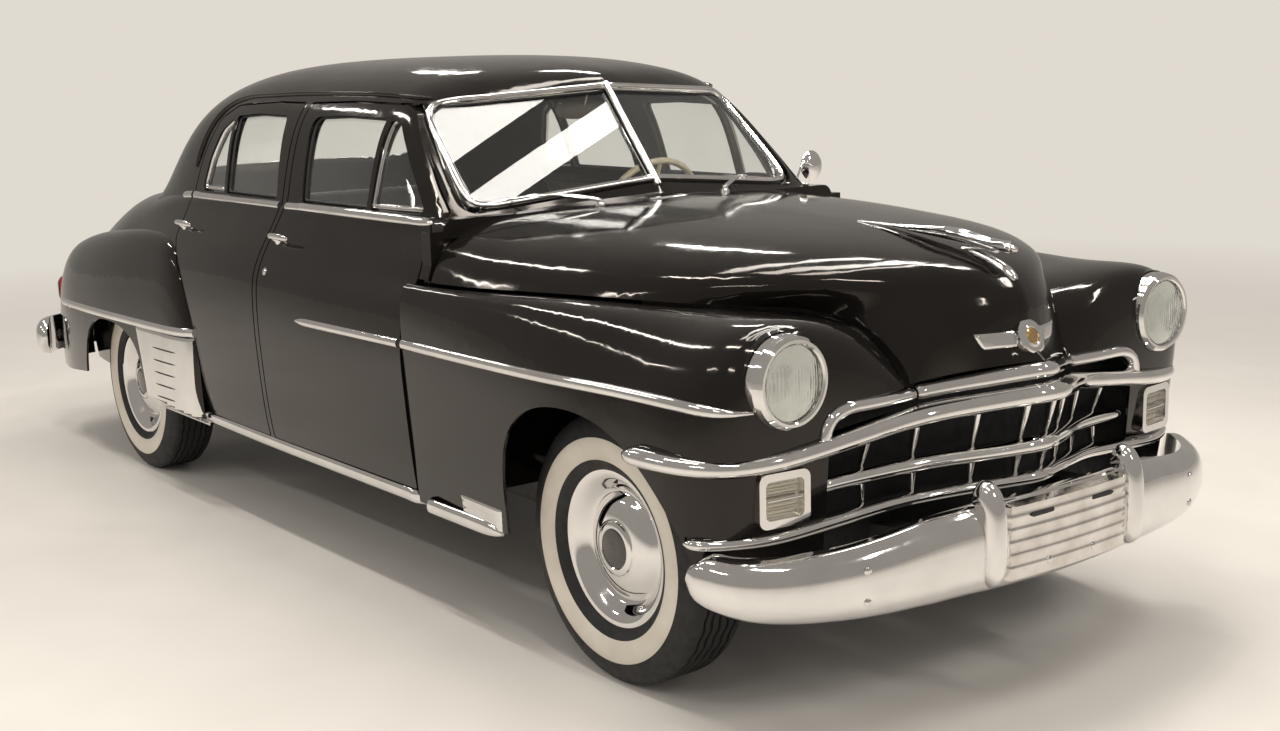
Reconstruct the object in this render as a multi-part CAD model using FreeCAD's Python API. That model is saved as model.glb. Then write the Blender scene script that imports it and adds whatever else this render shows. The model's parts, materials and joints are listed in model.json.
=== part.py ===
import FreeCAD, Part
import math
import os

# Four-door sedan of the early 1950s. Millimetres, +X forward, +Y to the car's left, +Z up.
# Guide points are written as (s, y, z): s is the distance ahead of the front axle.

# ---- driving dimensions ----
overall_length = 5290.0
overall_width = 1930.0
overall_height = 1645.0
wheelbase = 3188.0
front_overhang = 862.0
front_track = 1430.0
rear_track = 1513.0
tyre_diameter = 726.0
tyre_width = 205.0
rim_diameter = 420.0
whitewall_diameter = 604.0

door_wall = 85.0
frame_wall = 32.0
sheet = 9.0
panel_gap = 7.0
frame_gap = 13.0
running_gap = 6.0
seat_gap = 0.3
glass_thickness = 5.0
hinge_pin_r = 10.0

# ---- lengths of the measured car, which the guide points are written for ----
ref_wheelbase = 3188.0
ref_front = 862.0
ref_rear = 1240.0
ref_width = 1930.0
ref_height = 1645.0

V = FreeCAD.Vector
front_axle_x = overall_length / 2 - front_overhang
rear_axle_x = front_axle_x - wheelbase
rear_overhang = overall_length - front_overhang - wheelbase
wheel_z = tyre_diameter / 2


def X(s):
    if s >= 0:
        return front_axle_x + s * front_overhang / ref_front
    if s >= -ref_wheelbase:
        return front_axle_x + s * wheelbase / ref_wheelbase
    return rear_axle_x + (s + ref_wheelbase) * rear_overhang / ref_rear


def Y(y):
    return y * overall_width / ref_width


def Z(z):
    return z * overall_height / ref_height


def P(s, y, z):
    return V(X(s), Y(y), Z(z))


# ---- general helpers ----
def mirrored(shape):
    return shape.mirror(V(0, 0, 0), V(0, 1, 0))


def both(shape):
    return Part.makeCompound([shape, mirrored(shape)])


def box(x0, x1, y0, y1, z0, z1):
    return Part.makeBox(x1 - x0, y1 - y0, z1 - z0, V(x0, y0, z0))


def sbox(s0, s1, y0, y1, z0, z1):
    a, b = P(s0, y0, z0), P(s1, y1, z1)
    return box(a.x, b.x, a.y, b.y, a.z, b.z)


def cylinder(radius, length, start, axis):
    return Part.makeCylinder(radius, length, start, axis)


def rod(a, b, radius):
    return Part.makeCylinder(radius, (b - a).Length, a, b - a)


def fused(shapes):
    out = shapes[0]
    if len(shapes) > 1:
        out = out.multiFuse(shapes[1:])
    return out.removeSplitter()


def spread(points, count, bend=1.0):
    """The same line with a fixed number of points, closer together where it turns."""
    length = [0.0]
    turn = [0.0]
    for i in range(1, len(points)):
        step = points[i] - points[i - 1]
        length.append(length[-1] + step.Length)
        angle = 0.0
        if i < len(points) - 1:
            after = points[i + 1] - points[i]
            if step.Length > 1e-9 and after.Length > 1e-9:
                angle = step.getAngle(after)
        turn.append(turn[-1] + angle)
    whole_turn = turn[-1] or 1.0
    measure = [a / length[-1] + bend * b / whole_turn for a, b in zip(length, turn)]
    out = [points[0]]
    j = 0
    for q in range(1, count - 1):
        goal = measure[-1] * q / (count - 1)
        while measure[j + 1] < goal:
            j += 1
        f = (goal - measure[j]) / (measure[j + 1] - measure[j])
        out.append(points[j] + (points[j + 1] - points[j]) * f)
    out.append(points[-1])
    return out


def arc_row(a, k, b, power, crown=0.0, count=15):
    """A rounded corner from a, past the virtual corner k, to b; crown lifts the start."""
    dense = []
    steps = 160
    base = a - V(0, 0, crown)
    for i in range(steps + 1):
        t = math.pi / 2 * i / steps
        f1 = math.sin(t) ** (2 / power)
        f2 = 1 - max(0.0, math.cos(t)) ** (2 / power)
        p = base + (k - base) * f1 + (b - k) * f2
        dense.append(p + V(0, 0, crown * (1 - f1 * f1)))
    return spread(dense, count)


def steps_along(lines):
    """Shared parameters for lines of points: their mean chord lengths, 0 to 1."""
    n = len(lines[0])
    steps = [0.0] * (n - 1)
    for line in lines:
        for i in range(n - 1):
            steps[i] += (line[i + 1] - line[i]).Length + 1e-6
    total = sum(steps)
    out = [0.0]
    for step in steps:
        out.append(out[-1] + step / total)
    out[-1] = 1.0
    return out


def surface(rows):
    """A smooth surface through a grid of points."""
    columns = [list(c) for c in zip(*rows)]
    v_steps = steps_along(rows)
    u_steps = steps_along(columns)
    row_curves = []
    for row in rows:
        c = Part.BSplineCurve()
        c.interpolate(Points=row, Parameters=v_steps)
        row_curves.append(c)
    pole_columns = list(zip(*[c.getPoles() for c in row_curves]))
    column_curves = []
    for column in pole_columns:
        c = Part.BSplineCurve()
        c.interpolate(Points=list(column), Parameters=u_steps)
        column_curves.append(c)
    poles = [list(p) for p in zip(*[c.getPoles() for c in column_curves])]
    cu, cv = column_curves[0], row_curves[0]
    s = Part.BSplineSurface()
    s.buildFromPolesMultsKnots(poles, cu.getMultiplicities(), cv.getMultiplicities(),
                               cu.getKnots(), cv.getKnots(), False, False,
                               cu.Degree, cv.Degree)
    return s


def inset_rows(rows, depth):
    s = surface(rows)
    out = []
    for row in rows:
        line = []
        for p in row:
            u, v = s.parameter(p)
            line.append(p + s.normal(u, v) * depth)
        out.append(line)
    return out


def sewn(faces):
    shell = Part.makeCompound(faces)
    shell.sewShape()
    if shell.ShapeType != "Shell":
        shell = shell.Shells[0]
    solid = Part.makeSolid(shell)
    if solid.Volume < 0:
        solid.reverse()
    return solid


def edge_lines(s):
    u0, u1, v0, v1 = s.bounds()
    return [s.uIso(u0), s.uIso(u1), s.vIso(v0), s.vIso(v1)]


def panel(rows, inner_rows):
    """A sheet closed between an outer and an inner skin."""
    outer = surface(rows)
    inner = surface(inner_rows)
    faces = [outer.toShape(), inner.toShape()]
    for a, b in zip(edge_lines(outer), edge_lines(inner)):
        faces.append(Part.makeRuledSurface(a.toShape(), b.toShape(), 1))
    return sewn(faces)


def hull(rows):
    """A closed body: the left skin, its mirror, a bottom and two flat or ruled ends."""
    left = surface(rows)
    right_rows = [[V(p.x, -p.y, p.z) for p in row] for row in rows]
    right = surface(right_rows)
    lu0, lu1, lv0, lv1 = edge_lines(left)
    ru0, ru1, rv0, rv1 = edge_lines(right)
    faces = [left.toShape(), right.toShape()]
    faces.append(Part.makeRuledSurface(lv1.toShape(), rv1.toShape(), 1))
    faces.append(Part.makeRuledSurface(lu0.toShape(), ru0.toShape(), 1))
    faces.append(Part.makeRuledSurface(lu1.toShape(), ru1.toShape(), 1))
    return sewn(faces)


def flat_hull(rows):
    """As hull, with flat faces on the bottom and both ends."""
    left = surface(rows)
    right = surface([[V(p.x, -p.y, p.z) for p in row] for row in rows])
    lu0, lu1, lv0, lv1 = [c.toShape() for c in edge_lines(left)]
    ru0, ru1, rv0, rv1 = [c.toShape() for c in edge_lines(right)]
    faces = [left.toShape(), right.toShape()]
    faces.append(Part.makeRuledSurface(lv1, rv1, 1))
    for a, b, row in ((lu0, ru0, rows[0]), (lu1, ru1, rows[-1])):
        p = row[-1]
        low = Part.makeLine(p, V(p.x, -p.y, p.z))
        faces.append(Part.Face(Part.Wire(Part.__sortEdges__([a, b, low]))))
    return sewn(faces)


def closed_wire(points):
    """A smooth closed line through points."""
    c = Part.BSplineCurve()
    c.interpolate(points, PeriodicFlag=True)
    return Part.Wire([c.toShape()])


def poly_face(points):
    return Part.Face(Part.makePolygon(points + [points[0]]))


def rounded_face(points, radius):
    """A flat polygon face with rounded corners; radius may be one number or a list."""
    n = len(points)
    edges = []
    last = None
    first = None
    for i in range(n):
        p = points[i]
        r = radius[i] if isinstance(radius, (list, tuple)) else radius
        a = (points[i - 1] - p).normalize()
        b = (points[(i + 1) % n] - p).normalize()
        half = a.getAngle(b) / 2
        cut = r / math.tan(half)
        p0 = p + a * cut
        p1 = p + b * cut
        mid_dir = (a + b).normalize()
        centre = p + mid_dir * (r / math.sin(half))
        mid = centre - mid_dir * r
        if last is not None and (last - p0).Length > 1e-6:
            edges.append(Part.makeLine(last, p0))
        edges.append(Part.Arc(p0, mid, p1).toShape())
        last = p1
        if first is None:
            first = p0
    if (last - first).Length > 1e-6:
        edges.append(Part.makeLine(last, first))
    return Part.Face(Part.Wire(edges))


def prism_y(outline, radius, y0, y1):
    """A prism along Y through an outline of (s, z) points."""
    face = rounded_face([V(X(s), y0, Z(z)) for s, z in outline], radius)
    return face.extrude(V(0, y1 - y0, 0))


def prism_x(outline, radius, x0, x1):
    """A prism along X through an outline of (y, z) points."""
    face = rounded_face([V(x0, Y(y), Z(z)) for y, z in outline], radius)
    return face.extrude(V(x1 - x0, 0, 0))


def oval_points(centre, side, up, half_side, half_up, power=2.4, count=16):
    pts = []
    for i in range(count):
        t = 2 * math.pi * i / count
        c, s = math.cos(t), math.sin(t)
        a = math.copysign(abs(c) ** (2 / power), c) * half_side
        b = math.copysign(abs(s) ** (2 / power), s) * half_up
        pts.append(centre + side * a + up * b)
    return pts


def stations_along(path, depth, start, end):
    """(point, direction, scale) along a path; start and end shrink the last sections."""
    n = len(path)
    stations = []
    for i in range(n):
        t = (path[min(i + 1, n - 1)] - path[max(i - 1, 0)]).normalize()
        stations.append((path[i], t, 1.0))
    if start < 1:
        p, t, _ = stations[0]
        stations[0] = (p + t * depth * 0.5, t, 1.0)
        stations.insert(0, (p + t * depth * 0.12, t, (1 + start) * 0.42))
        stations.insert(0, (p, t, start))
    if end < 1:
        p, t, _ = stations[-1]
        stations[-1] = (p - t * depth * 0.5, t, 1.0)
        stations.append((p - t * depth * 0.12, t, (1 + end) * 0.42))
        stations.append((p, t, end))
    return stations


def bar(path, depth, height, start=0.25, end=0.25, power=2.2, up=None, count=9):
    """A bar along a path with a rounded front and a flat back; up x path points back."""
    up = up or V(0, 0, 1)
    heights = height if isinstance(height, list) else [height] * len(path)
    heights = [heights[0]] * (2 * (start < 1)) + heights + [heights[-1]] * (2 * (end < 1))
    wires = []
    for (p, t, f), height in zip(stations_along(path, depth, start, end), heights):
        side = t.cross(up).normalize()
        vert = side.cross(t).normalize()
        row = []
        for i in range(61):
            q = math.pi * i / 60
            reach = max(0.0, math.sin(q)) ** (2 / power)
            rise = math.copysign(abs(math.cos(q)) ** (2 / power), math.cos(q))
            row.append(p + side * depth * f * (reach - 0.5) + vert * height / 2 * f * rise)
        row = spread(row, count)
        wires.append(Part.makePolygon(row + [row[0]]))
    return Part.makeLoft(wires, True, True)


def slot_along(path, depth, height):
    """A straight-sided room for a bar along the same path."""
    wires = []
    for p, t, _ in stations_along(path, depth, 1, 1):
        side = t.cross(V(0, 0, 1)).normalize() * (depth / 2)
        vert = V(0, 0, height / 2)
        pts = [p - side - vert, p + side - vert, p + side + vert, p - side + vert]
        wires.append(Part.makePolygon(pts + [pts[0]]))
    return Part.makeLoft(wires, True, True)


def revolved(points, centre, axis):
    """Turns (radius, along) points into a solid round an axis along Y, X or Z."""
    profile = Part.makePolygon([V(a, r, 0) for r, a in points] + [V(points[0][1], points[0][0], 0)])
    solid = Part.Face(profile).revolve(V(0, 0, 0), V(1, 0, 0), 360)
    turn = FreeCAD.Rotation(V(1, 0, 0), axis)
    solid.Placement = FreeCAD.Placement(centre, turn)
    return solid


def underside(solid, s, y):
    """The lowest z of a solid on the upright line through (s, y)."""
    line = Part.makeLine(P(s, y, 300), P(s, y, 1600))
    return min(v.Point.z for v in line.common(solid).Vertexes)


def hinge_pin(solid, s, y, z0):
    """A pin from z0 up to the underside of the lid that it carries."""
    rim = [(0, 0), (1, 0), (-1, 0), (0, 1), (0, -1), (0.7, 0.7), (0.7, -0.7), (-0.7, 0.7), (-0.7, -0.7)]
    top = min(underside(solid, s + hinge_pin_r * a, y + hinge_pin_r * b) for a, b in rim) - seat_gap
    return cylinder(hinge_pin_r, top - Z(z0), P(s, y, z0), V(0, 0, 1))


def write(name, shape):
    shape.exportStep("parts/" + name + ".step")


os.makedirs("parts", exist_ok=True)

# ---- body hulls ----
belt_z = 1150

# centre (s, z), crown, corner (s, y, z), side foot (s, y), power
greenhouse_guides = [
    ((-690, 1120), 0, (-780, 705, 1120.5), (-790, 783), 6),
    ((-764, 1214), 0, (-855, 712, 1165), (-866, 788), 7),
    ((-857, 1323), 0, (-950, 706, 1275), (-965, 793), 7.5),
    ((-950, 1433), 0, (-1050, 696, 1385), (-1065, 796), 7),
    ((-1041, 1540), 0, (-1155, 680, 1495), (-1170, 798), 6.2),
    ((-1095, 1580), 10, (-1235, 684, 1548), (-1265, 799), 5.6),
    ((-1220, 1610), 26, (-1350, 692, 1576), (-1380, 801), 5.2),
    ((-1480, 1636), 38, (-1550, 698, 1594), (-1560, 803), 5),
    ((-1900, 1645), 45, (-1900, 702, 1600), (-1900, 806), 5),
    ((-2300, 1638), 42, (-2290, 700, 1600), (-2290, 804), 5),
    ((-2620, 1608), 38, (-2590, 692, 1574), (-2570, 799), 4.8),
    ((-2870, 1548), 30, (-2820, 676, 1520), (-2750, 790), 4.4),
    ((-3070, 1452), 20, (-2990, 656, 1430), (-2870, 778), 4),
    ((-3240, 1312), 10, (-3140, 636, 1295), (-2980, 764), 3.7),
    ((-3410, 1120), 0, (-3290, 622, 1120.5), (-3090, 748), 3.5),
]
foot_z = 1120


def greenhouse_rows(wall=0.0):
    """Sections of the upper body, moved inward by the thickness of its wall."""
    rows = []
    last = len(greenhouse_guides) - 1
    for i, guide in enumerate(greenhouse_guides):
        (sa, za), crown, (sk, yk, zk), (sb, yb), power = guide
        (s0, z0), (s1, z1) = [greenhouse_guides[j][0] for j in (max(i - 1, 0), min(i + 1, last))]
        run = math.hypot(s1 - s0, z1 - z0)
        ns, nz = (z1 - z0) / run, -(s1 - s0) / run
        if i in (0, last):
            ns, nz = math.copysign(1 / abs(ns), ns), 0
        sa, za = sa - ns * wall, za - nz * wall
        sk, yk, zk = sk - ns * wall, yk - wall, zk - nz * wall
        a, k, b = P(sa, 0, za), P(sk, yk, zk), P(sb - ns * wall, yb - wall, foot_z)
        if i in (0, last):
            k.z = a.z
        rows.append(arc_row(a, k, b, power, Z(crown), 17))
    return rows


# side shape: half widths at these heights, for each station
side_levels = [1110, 1050, 1000, 970, 930, 840, 730, 590, 470, 335]
# s at the centre and at the side, deck height, shoulder (y, z), its radius, half widths
lower_guides = [
    (-800, -800, 1172, (780, 1172), 36, [796, 826, 840, 876, 894, 913, 913, 903, 893, 876]),
    (-1300, -1300, 1172, (790, 1172), 36, [808, 840, 868, 892, 908, 921, 922, 914, 903, 880]),
    (-1840, -1840, 1172, (802, 1172), 36, [828, 864, 892, 907, 919, 928, 927, 919, 909, 886]),
    (-2300, -2300, 1172, (800, 1172), 38, [825, 861, 889, 904, 915, 925, 925, 918, 908, 884]),
    (-2600, -2600, 1170, (794, 1170), 44, [817, 849, 875, 889, 900, 912, 912, 905, 895, 875]),
    (-2850, -2850, 1162, (780, 1160), 70, [802, 832, 855, 868, 878, 889, 888, 880, 870, 850]),
    (-3150, -3100, 1146, (758, 1138), 110, [774, 804, 827, 838, 847, 856, 855, 846, 836, 820]),
    (-3450, -3400, 1124, (728, 1106), 150, [0, 768, 790, 801, 810, 818, 817, 810, 800, 786]),
    (-3750, -3690, 1066, (690, 1040), 170, [0, 0, 0, 0, 762, 780, 780, 772, 764, 750]),
    (-3990, -3940, 976, (656, 942), 150, [0, 0, 0, 0, 0, 732, 744, 740, 734, 722]),
    (-4160, -4110, 850, (626, 818), 120, [0, 0, 0, 0, 0, 0, 696, 706, 704, 694]),
    (-4260, -4220, 700, (580, 668), 100, [0, 0, 0, 0, 0, 0, 0, 0, 655, 652]),
    (-4300, -4300, 540, (500, 515), 60, [0, 0, 0, 0, 0, 0, 0, 0, 0, 606]),
]


def lower_rows(wall_y, wall_z, floor_z):
    """Sections from the centre of the deck over the shoulder and down the side."""
    rows = []
    for sa, sb, deck, (ys, zs), radius, widths in lower_guides:
        top_y, top_z = ys - wall_y, zs - wall_z
        deck_line = []
        for i in range(9):
            y = (top_y - radius) * i / 8
            f = y / top_y
            deck_line.append((y, deck - wall_z - (deck - zs) * f ** 2.2))
        side = [(top_y, top_z)]
        for level, width in zip(side_levels, widths):
            if width and level < top_z - 15 and level > floor_z:
                side.append((width - wall_y, level))
        side.append((widths[-1] - wall_y, floor_z))
        side_line = [p for p in eased(side) if math.hypot(p[0] - top_y, p[1] - top_z) >= radius]
        a, b = deck_line[-1], side_line[0]
        corner = []
        for i in range(1, 5):
            f = i / 5
            y = (1 - f) ** 2 * a[0] + 2 * f * (1 - f) * top_y + f * f * b[0]
            z = (1 - f) ** 2 * a[1] + 2 * f * (1 - f) * top_z + f * f * b[1]
            corner.append((y, z))
        side_pts = spread([V(y, z, 0) for y, z in side_line], 12, 0)
        pts = deck_line + corner + [(q.x, q.y) for q in side_pts]
        row = []
        for y, z in pts:
            f = min(1.0, max(0.0, y / top_y)) ** 2
            row.append(P(sa + (sb - sa) * f, y, z))
        rows.append(row)
    return rows


def eased(points):
    """Points close together on a smooth line through (y, z) points."""
    curve = Part.BSplineCurve()
    curve.interpolate([V(y, z, 0) for y, z in points])
    u0, u1 = curve.FirstParameter, curve.LastParameter
    line = [curve.value(u0 + (u1 - u0) * i / 80) for i in range(81)]
    return [(q.x, q.y) for q in line]


sill_z = 335
floor_top_z = 400
upper_outer = hull(greenhouse_rows())
upper_inner = hull(greenhouse_rows(frame_wall))
lower_outer = flat_hull(lower_rows(0, 0, sill_z))
lower_inner = flat_hull(lower_rows(door_wall, 30, floor_top_z))

# ---- hood and front fender skins ----
# centre (s, z), corner (s, y, z), side edge (s, y, z), power
hood_guides = [
    ((760, 859), (640, 172, 847), (584, 299, 816), 2),
    ((723, 892), (655, 212, 880), (562, 308, 870), 2),
    ((702, 928), (673, 236, 928), (520, 325, 916), 2),
    ((697, 985), (672, 243, 985), (472, 340, 953), 2),
    ((672, 1040), (640, 264, 1042), (420, 365, 974), 2),
    ((608, 1086), (575, 330, 1086), (362, 405, 988), 2.3),
    ((450, 1126), (435, 450, 1120), (286, 480, 998), 2.6),
    ((200, 1157), (200, 560, 1146), (126, 620, 1006), 2.9),
    ((-100, 1177), (-100, 640, 1164), (-120, 722, 1010), 3),
    ((-400, 1192), (-400, 704, 1172), (-420, 790, 1004), 3.2),
    ((-620, 1199), (-640, 744, 1170), (-640, 824, 998), 3.6),
    ((-760, 1203), (-800, 772, 1170), (-800, 838, 996), 4),
    ((-900, 1206), (-930, 780, 1172), (-930, 842, 996), 4),
]


def hood_rows(wall=0.0):
    rows = []
    last = len(hood_guides) - 1
    for i, guide in enumerate(hood_guides):
        (sa, za), (sk, yk, zk), (sb, yb, zb), power = guide
        (s0, z0), (s1, z1) = [hood_guides[j][0] for j in (max(i - 1, 0), min(i + 1, last))]
        run = math.hypot(s1 - s0, z1 - z0)
        ns, nz = (z1 - z0) / run, -(s1 - s0) / run
        if i == 0:
            ns, nz = 1, 0
        a = P(sa - ns * wall, 0, za - nz * wall)
        k = P(sk - ns * wall, yk - wall, zk - nz * wall)
        b = P(sb - ns * wall * 0.6, yb - wall, zb)
        rows.append(arc_row(a, k, b, power, 0.0, 15))
    return rows


def symmetric(rows):
    """Half rows joined with their mirror into whole rows, right edge to left edge."""
    return [[V(p.x, -p.y, p.z) for p in row[:0:-1]] + row for row in rows]


hood_shell = panel(symmetric(hood_rows()), symmetric(hood_rows(sheet)))

# inner top edge, virtual corner, bottom edge of the front fender, power
fender_guides = [
    ((582, 308, 808), (604, 314, 804), (594, 311, 420), 3),
    ((554, 321, 858), (610, 400, 880), (592, 390, 420), 3.2),
    ((516, 334, 908), (616, 500, 954), (584, 495, 420), 3.8),
    ((468, 349, 945), (620, 625, 1010), (568, 610, 420), 4.4),
    ((416, 374, 966), (616, 765, 1046), (550, 725, 420), 4.8),
    ((358, 414, 980), (588, 882, 1058), (524, 818, 420), 4.4),
    ((282, 489, 990), (430, 944, 1056), (450, 888, 414), 3.6),
    ((122, 629, 998), (200, 948, 1046), (270, 910, 404), 3.2),
    ((-120, 731, 1002), (-60, 950, 1036), (0, 914, 392), 3.2),
    ((-420, 801, 996), (-380, 942, 1020), (-330, 902, 352), 3.8),
    ((-640, 838, 990), (-640, 936, 1008), (-620, 890, 338), 4.2),
    ((-850, 852, 988), (-850, 931, 1002), (-850, 878, 335), 4.6),
]


def fender_rows(wall=0.0):
    rows = []
    for i, (a, k, b, power) in enumerate(fender_guides):
        front = max(0.0, 1 - i / 6)
        a = P(a[0] - wall * front, a[1], a[2] - wall * (1 - front))
        k = P(k[0] - wall * min(1.0, front * 1.6), k[1] - wall * (1 - front), k[2] - wall)
        b = P(b[0] - wall * min(1.0, front * 1.6), b[1] - wall * (1 - front), b[2])
        rows.append(arc_row(a, k, b, power, 0.0, 17))
    return rows


fender_shell = panel(fender_rows(), fender_rows(sheet))

rear_fender_guides = [
    ((-2372, 905, 600), (-2372, 921, 602), (-2372, 908, 345), 3),
    ((-2402, 898, 700), (-2402, 936, 704), (-2395, 922, 348), 3),
    ((-2440, 890, 800), (-2440, 952, 806), (-2432, 936, 352), 3),
    ((-2500, 880, 895), (-2500, 963, 904), (-2490, 950, 360), 3),
    ((-2590, 860, 968), (-2590, 969, 982), (-2580, 958, 372), 3),
    ((-2720, 835, 1002), (-2720, 971, 1020), (-2720, 962, 380), 3),
    ((-2950, 812, 1008), (-2950, 972, 1030), (-2950, 963, 385), 3),
    ((-3250, 785, 984), (-3250, 970, 1008), (-3250, 960, 388), 3),
    ((-3550, 752, 950), (-3550, 956, 974), (-3550, 946, 372), 3),
    ((-3820, 716, 900), (-3820, 930, 938), (-3810, 918, 344), 3),
    ((-4020, 680, 840), (-4020, 892, 896), (-4000, 878, 332), 2.9),
    ((-4150, 630, 768), (-4150, 850, 838), (-4135, 836, 328), 2.8),
    ((-4225, 600, 690), (-4228, 800, 760), (-4205, 785, 325), 2.7),
    ((-4265, 590, 610), (-4270, 735, 652), (-4244, 722, 324), 2.6),
    ((-4286, 580, 530), (-4290, 672, 550), (-4264, 664, 324), 2.6),
]


def rear_fender_rows(wall=0.0):
    rows = []
    last = len(rear_fender_guides) - 1
    for i, (a, k, b, power) in enumerate(rear_fender_guides):
        shift = wall * (-1 if i == 0 else 0)
        a = P(a[0] + shift, a[1] - 2, a[2] - wall)
        k = P(k[0] + shift, k[1] - wall, k[2] - wall)
        b = P(b[0] + shift, b[1] - wall, b[2])
        rows.append(arc_row(a, k, b, power, 0.0, 15))
    return rows


rear_fender_shell = panel(rear_fender_rows(), rear_fender_rows(sheet))


def plan_prism(outline, z0=200.0, z1=1500.0):
    """A prism along Z through (s, y) points joined by a smooth or straight line."""
    pts = [V(X(s), Y(y), Z(z0)) for s, y in outline]
    return poly_face(pts).extrude(V(0, 0, Z(z1) - Z(z0)))


# the hood ends at this line across the car; behind it the same skin is the cowl
hood_rear_edge = [(-561, 0), (-566, 200), (-590, 400), (-640, 560), (-715, 690), (-786, 790)]


def behind_hood(shift):
    edge = [V(X(s - shift), Y(y), 0) for s, y in hood_rear_edge]
    edge += [V(X(-800 - shift), Y(900), 0)]
    whole = [V(p.x, -p.y, 0) for p in edge[:0:-1]] + edge
    back = [V(X(-1400), Y(900), 0), V(X(-1400), -Y(900), 0)]
    return poly_face(whole + back).extrude(V(0, 0, 1600))


hood = hood_shell.cut(behind_hood(0))
cowl = hood_shell.common(behind_hood(panel_gap))

# ---- body: outside forms less the cabin and the boot ----
tunnel = cylinder(Z(180), X(-815) - X(-2640), V(X(-2640), 0, Z(340)), V(1, 0, 0))
tunnel_under = cylinder(Z(165), X(-700) - X(-2800), V(X(-2800), 0, Z(340)), V(1, 0, 0))
arch_out = cylinder(tyre_diameter / 2 + 78, Y(400), V(rear_axle_x, Y(598), wheel_z), V(0, 1, 0))
arch_in = cylinder(tyre_diameter / 2 + 65, Y(400), V(rear_axle_x, Y(612), wheel_z), V(0, 1, 0))
cabin_low = lower_inner.common(sbox(-2985, -826, -1000, 1000, 300, 1300))
cabin_low = cabin_low.cut(fused([tunnel, sbox(-3000, -2620, -1000, 1000, 300, 585),
                                 arch_out, mirrored(arch_out)]))
cabin_high = upper_inner.cut(sbox(-3500, -2985, -1000, 1000, 1000, 1142))
belt_link = sbox(-2985, -862, -700, 700, 1050, 1160)
boot = lower_inner.common(sbox(-4258, -3005, -1000, 1000, 600, 1300))
boot = boot.cut(fused([arch_out, mirrored(arch_out), sbox(-3400, -2900, -900, 900, 1100, 1300)]))
outside = upper_outer.fuse(lower_outer)
body = outside.cut(fused([cabin_low, cabin_high, belt_link]))
body = body.cut(boot)
under = fused([sbox(-2620, -815, -720, 720, 300, 385), sbox(-4284, -2635, -700, 700, 300, 570),
               tunnel_under, arch_in, mirrored(arch_in)])
body = body.cut(under)
print("body", body.isValid(), len(body.Solids), body.Volume / 1e9)


# ---- side openings ----
def spline_outline(points):
    c = Part.BSplineCurve()
    c.interpolate(points)
    return c.toShape()


front_door_outline = [(-857, 372), (-857, 1120), (-893, 1183), (-1178, 1474), (-1224, 1494),
                      (-1500, 1502), (-1797, 1496), (-1797, 1158), (-1803, 1130), (-1803, 372)]
front_door_corners = [10, 60, 40, 60, 30, 200, 14, 3, 3, 10]
rear_door_outline = [(-1842, 372), (-1842, 1496), (-2080, 1498), (-2370, 1486), (-2482, 1440),
                     (-2566, 1300), (-2606, 1150), (-2606, 1010), (-2566, 965), (-2480, 872),
                     (-2420, 760), (-2382, 640), (-2362, 520), (-2362, 372)]
rear_door_corners = [10, 14, 200, 90, 80, 200, 120, 24, 60, 120, 120, 120, 120, 10]
front_glass_outline = [(-1262, 1178), (-1272, 1455), (-1500, 1462), (-1728, 1455), (-1696, 1178)]
front_glass_corners = [12, 14, 300, 34, 14]
vent_outline = [(-944, 1178), (-1200, 1440), (-1250, 1452), (-1240, 1178)]
vent_corners = [12, 20, 14, 12]
rear_glass_outline = [(-1884, 1178), (-1924, 1458), (-2150, 1462), (-2336, 1452), (-2306, 1178)]
rear_glass_corners = [14, 34, 300, 12, 12]
quarter_outline = [(-2326, 1178), (-2356, 1446), (-2440, 1400), (-2500, 1290), (-2530, 1178)]
quarter_corners = [12, 12, 60, 60, 24]

windshield_outline = [(13, 1232), (690, 1170), (648, 1497), (13, 1534)]
windshield_corners = [4, 56, 60, 4]
rear_window_outline = [(-520, 1206), (520, 1206), (470, 1448), (-470, 1448)]
rear_window_corners = [70, 70, 80, 80]


def grown(prism_face, amount):
    return prism_face.makeOffset2D(amount)


def side_face(outline, corners, y0):
    return rounded_face([V(X(s), Y(y0), Z(z)) for s, z in outline], corners)


def side_prism(outline, corners, y0=600, growth=0.0):
    face = side_face(outline, corners, y0)
    if growth:
        face = grown(face, growth)
    return face.extrude(V(0, Y(1100) - Y(y0), 0))


def inner_edge_cut(s0, s1, depth, widths, top=1125):
    """The part of a door deeper than depth behind its skin, from s0 to s1."""
    pts = [V(X(s0), Y(500), Z(1200)), V(X(s0), Y(765) - depth, Z(1200))]
    pts += [V(X(s0), Y(w) - depth, Z(level)) for level, w in zip(side_levels, widths)]
    pts.append(V(X(s0), Y(500), Z(335)))
    return poly_face(pts).extrude(V(X(s1) - X(s0), 0, 0))


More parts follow.
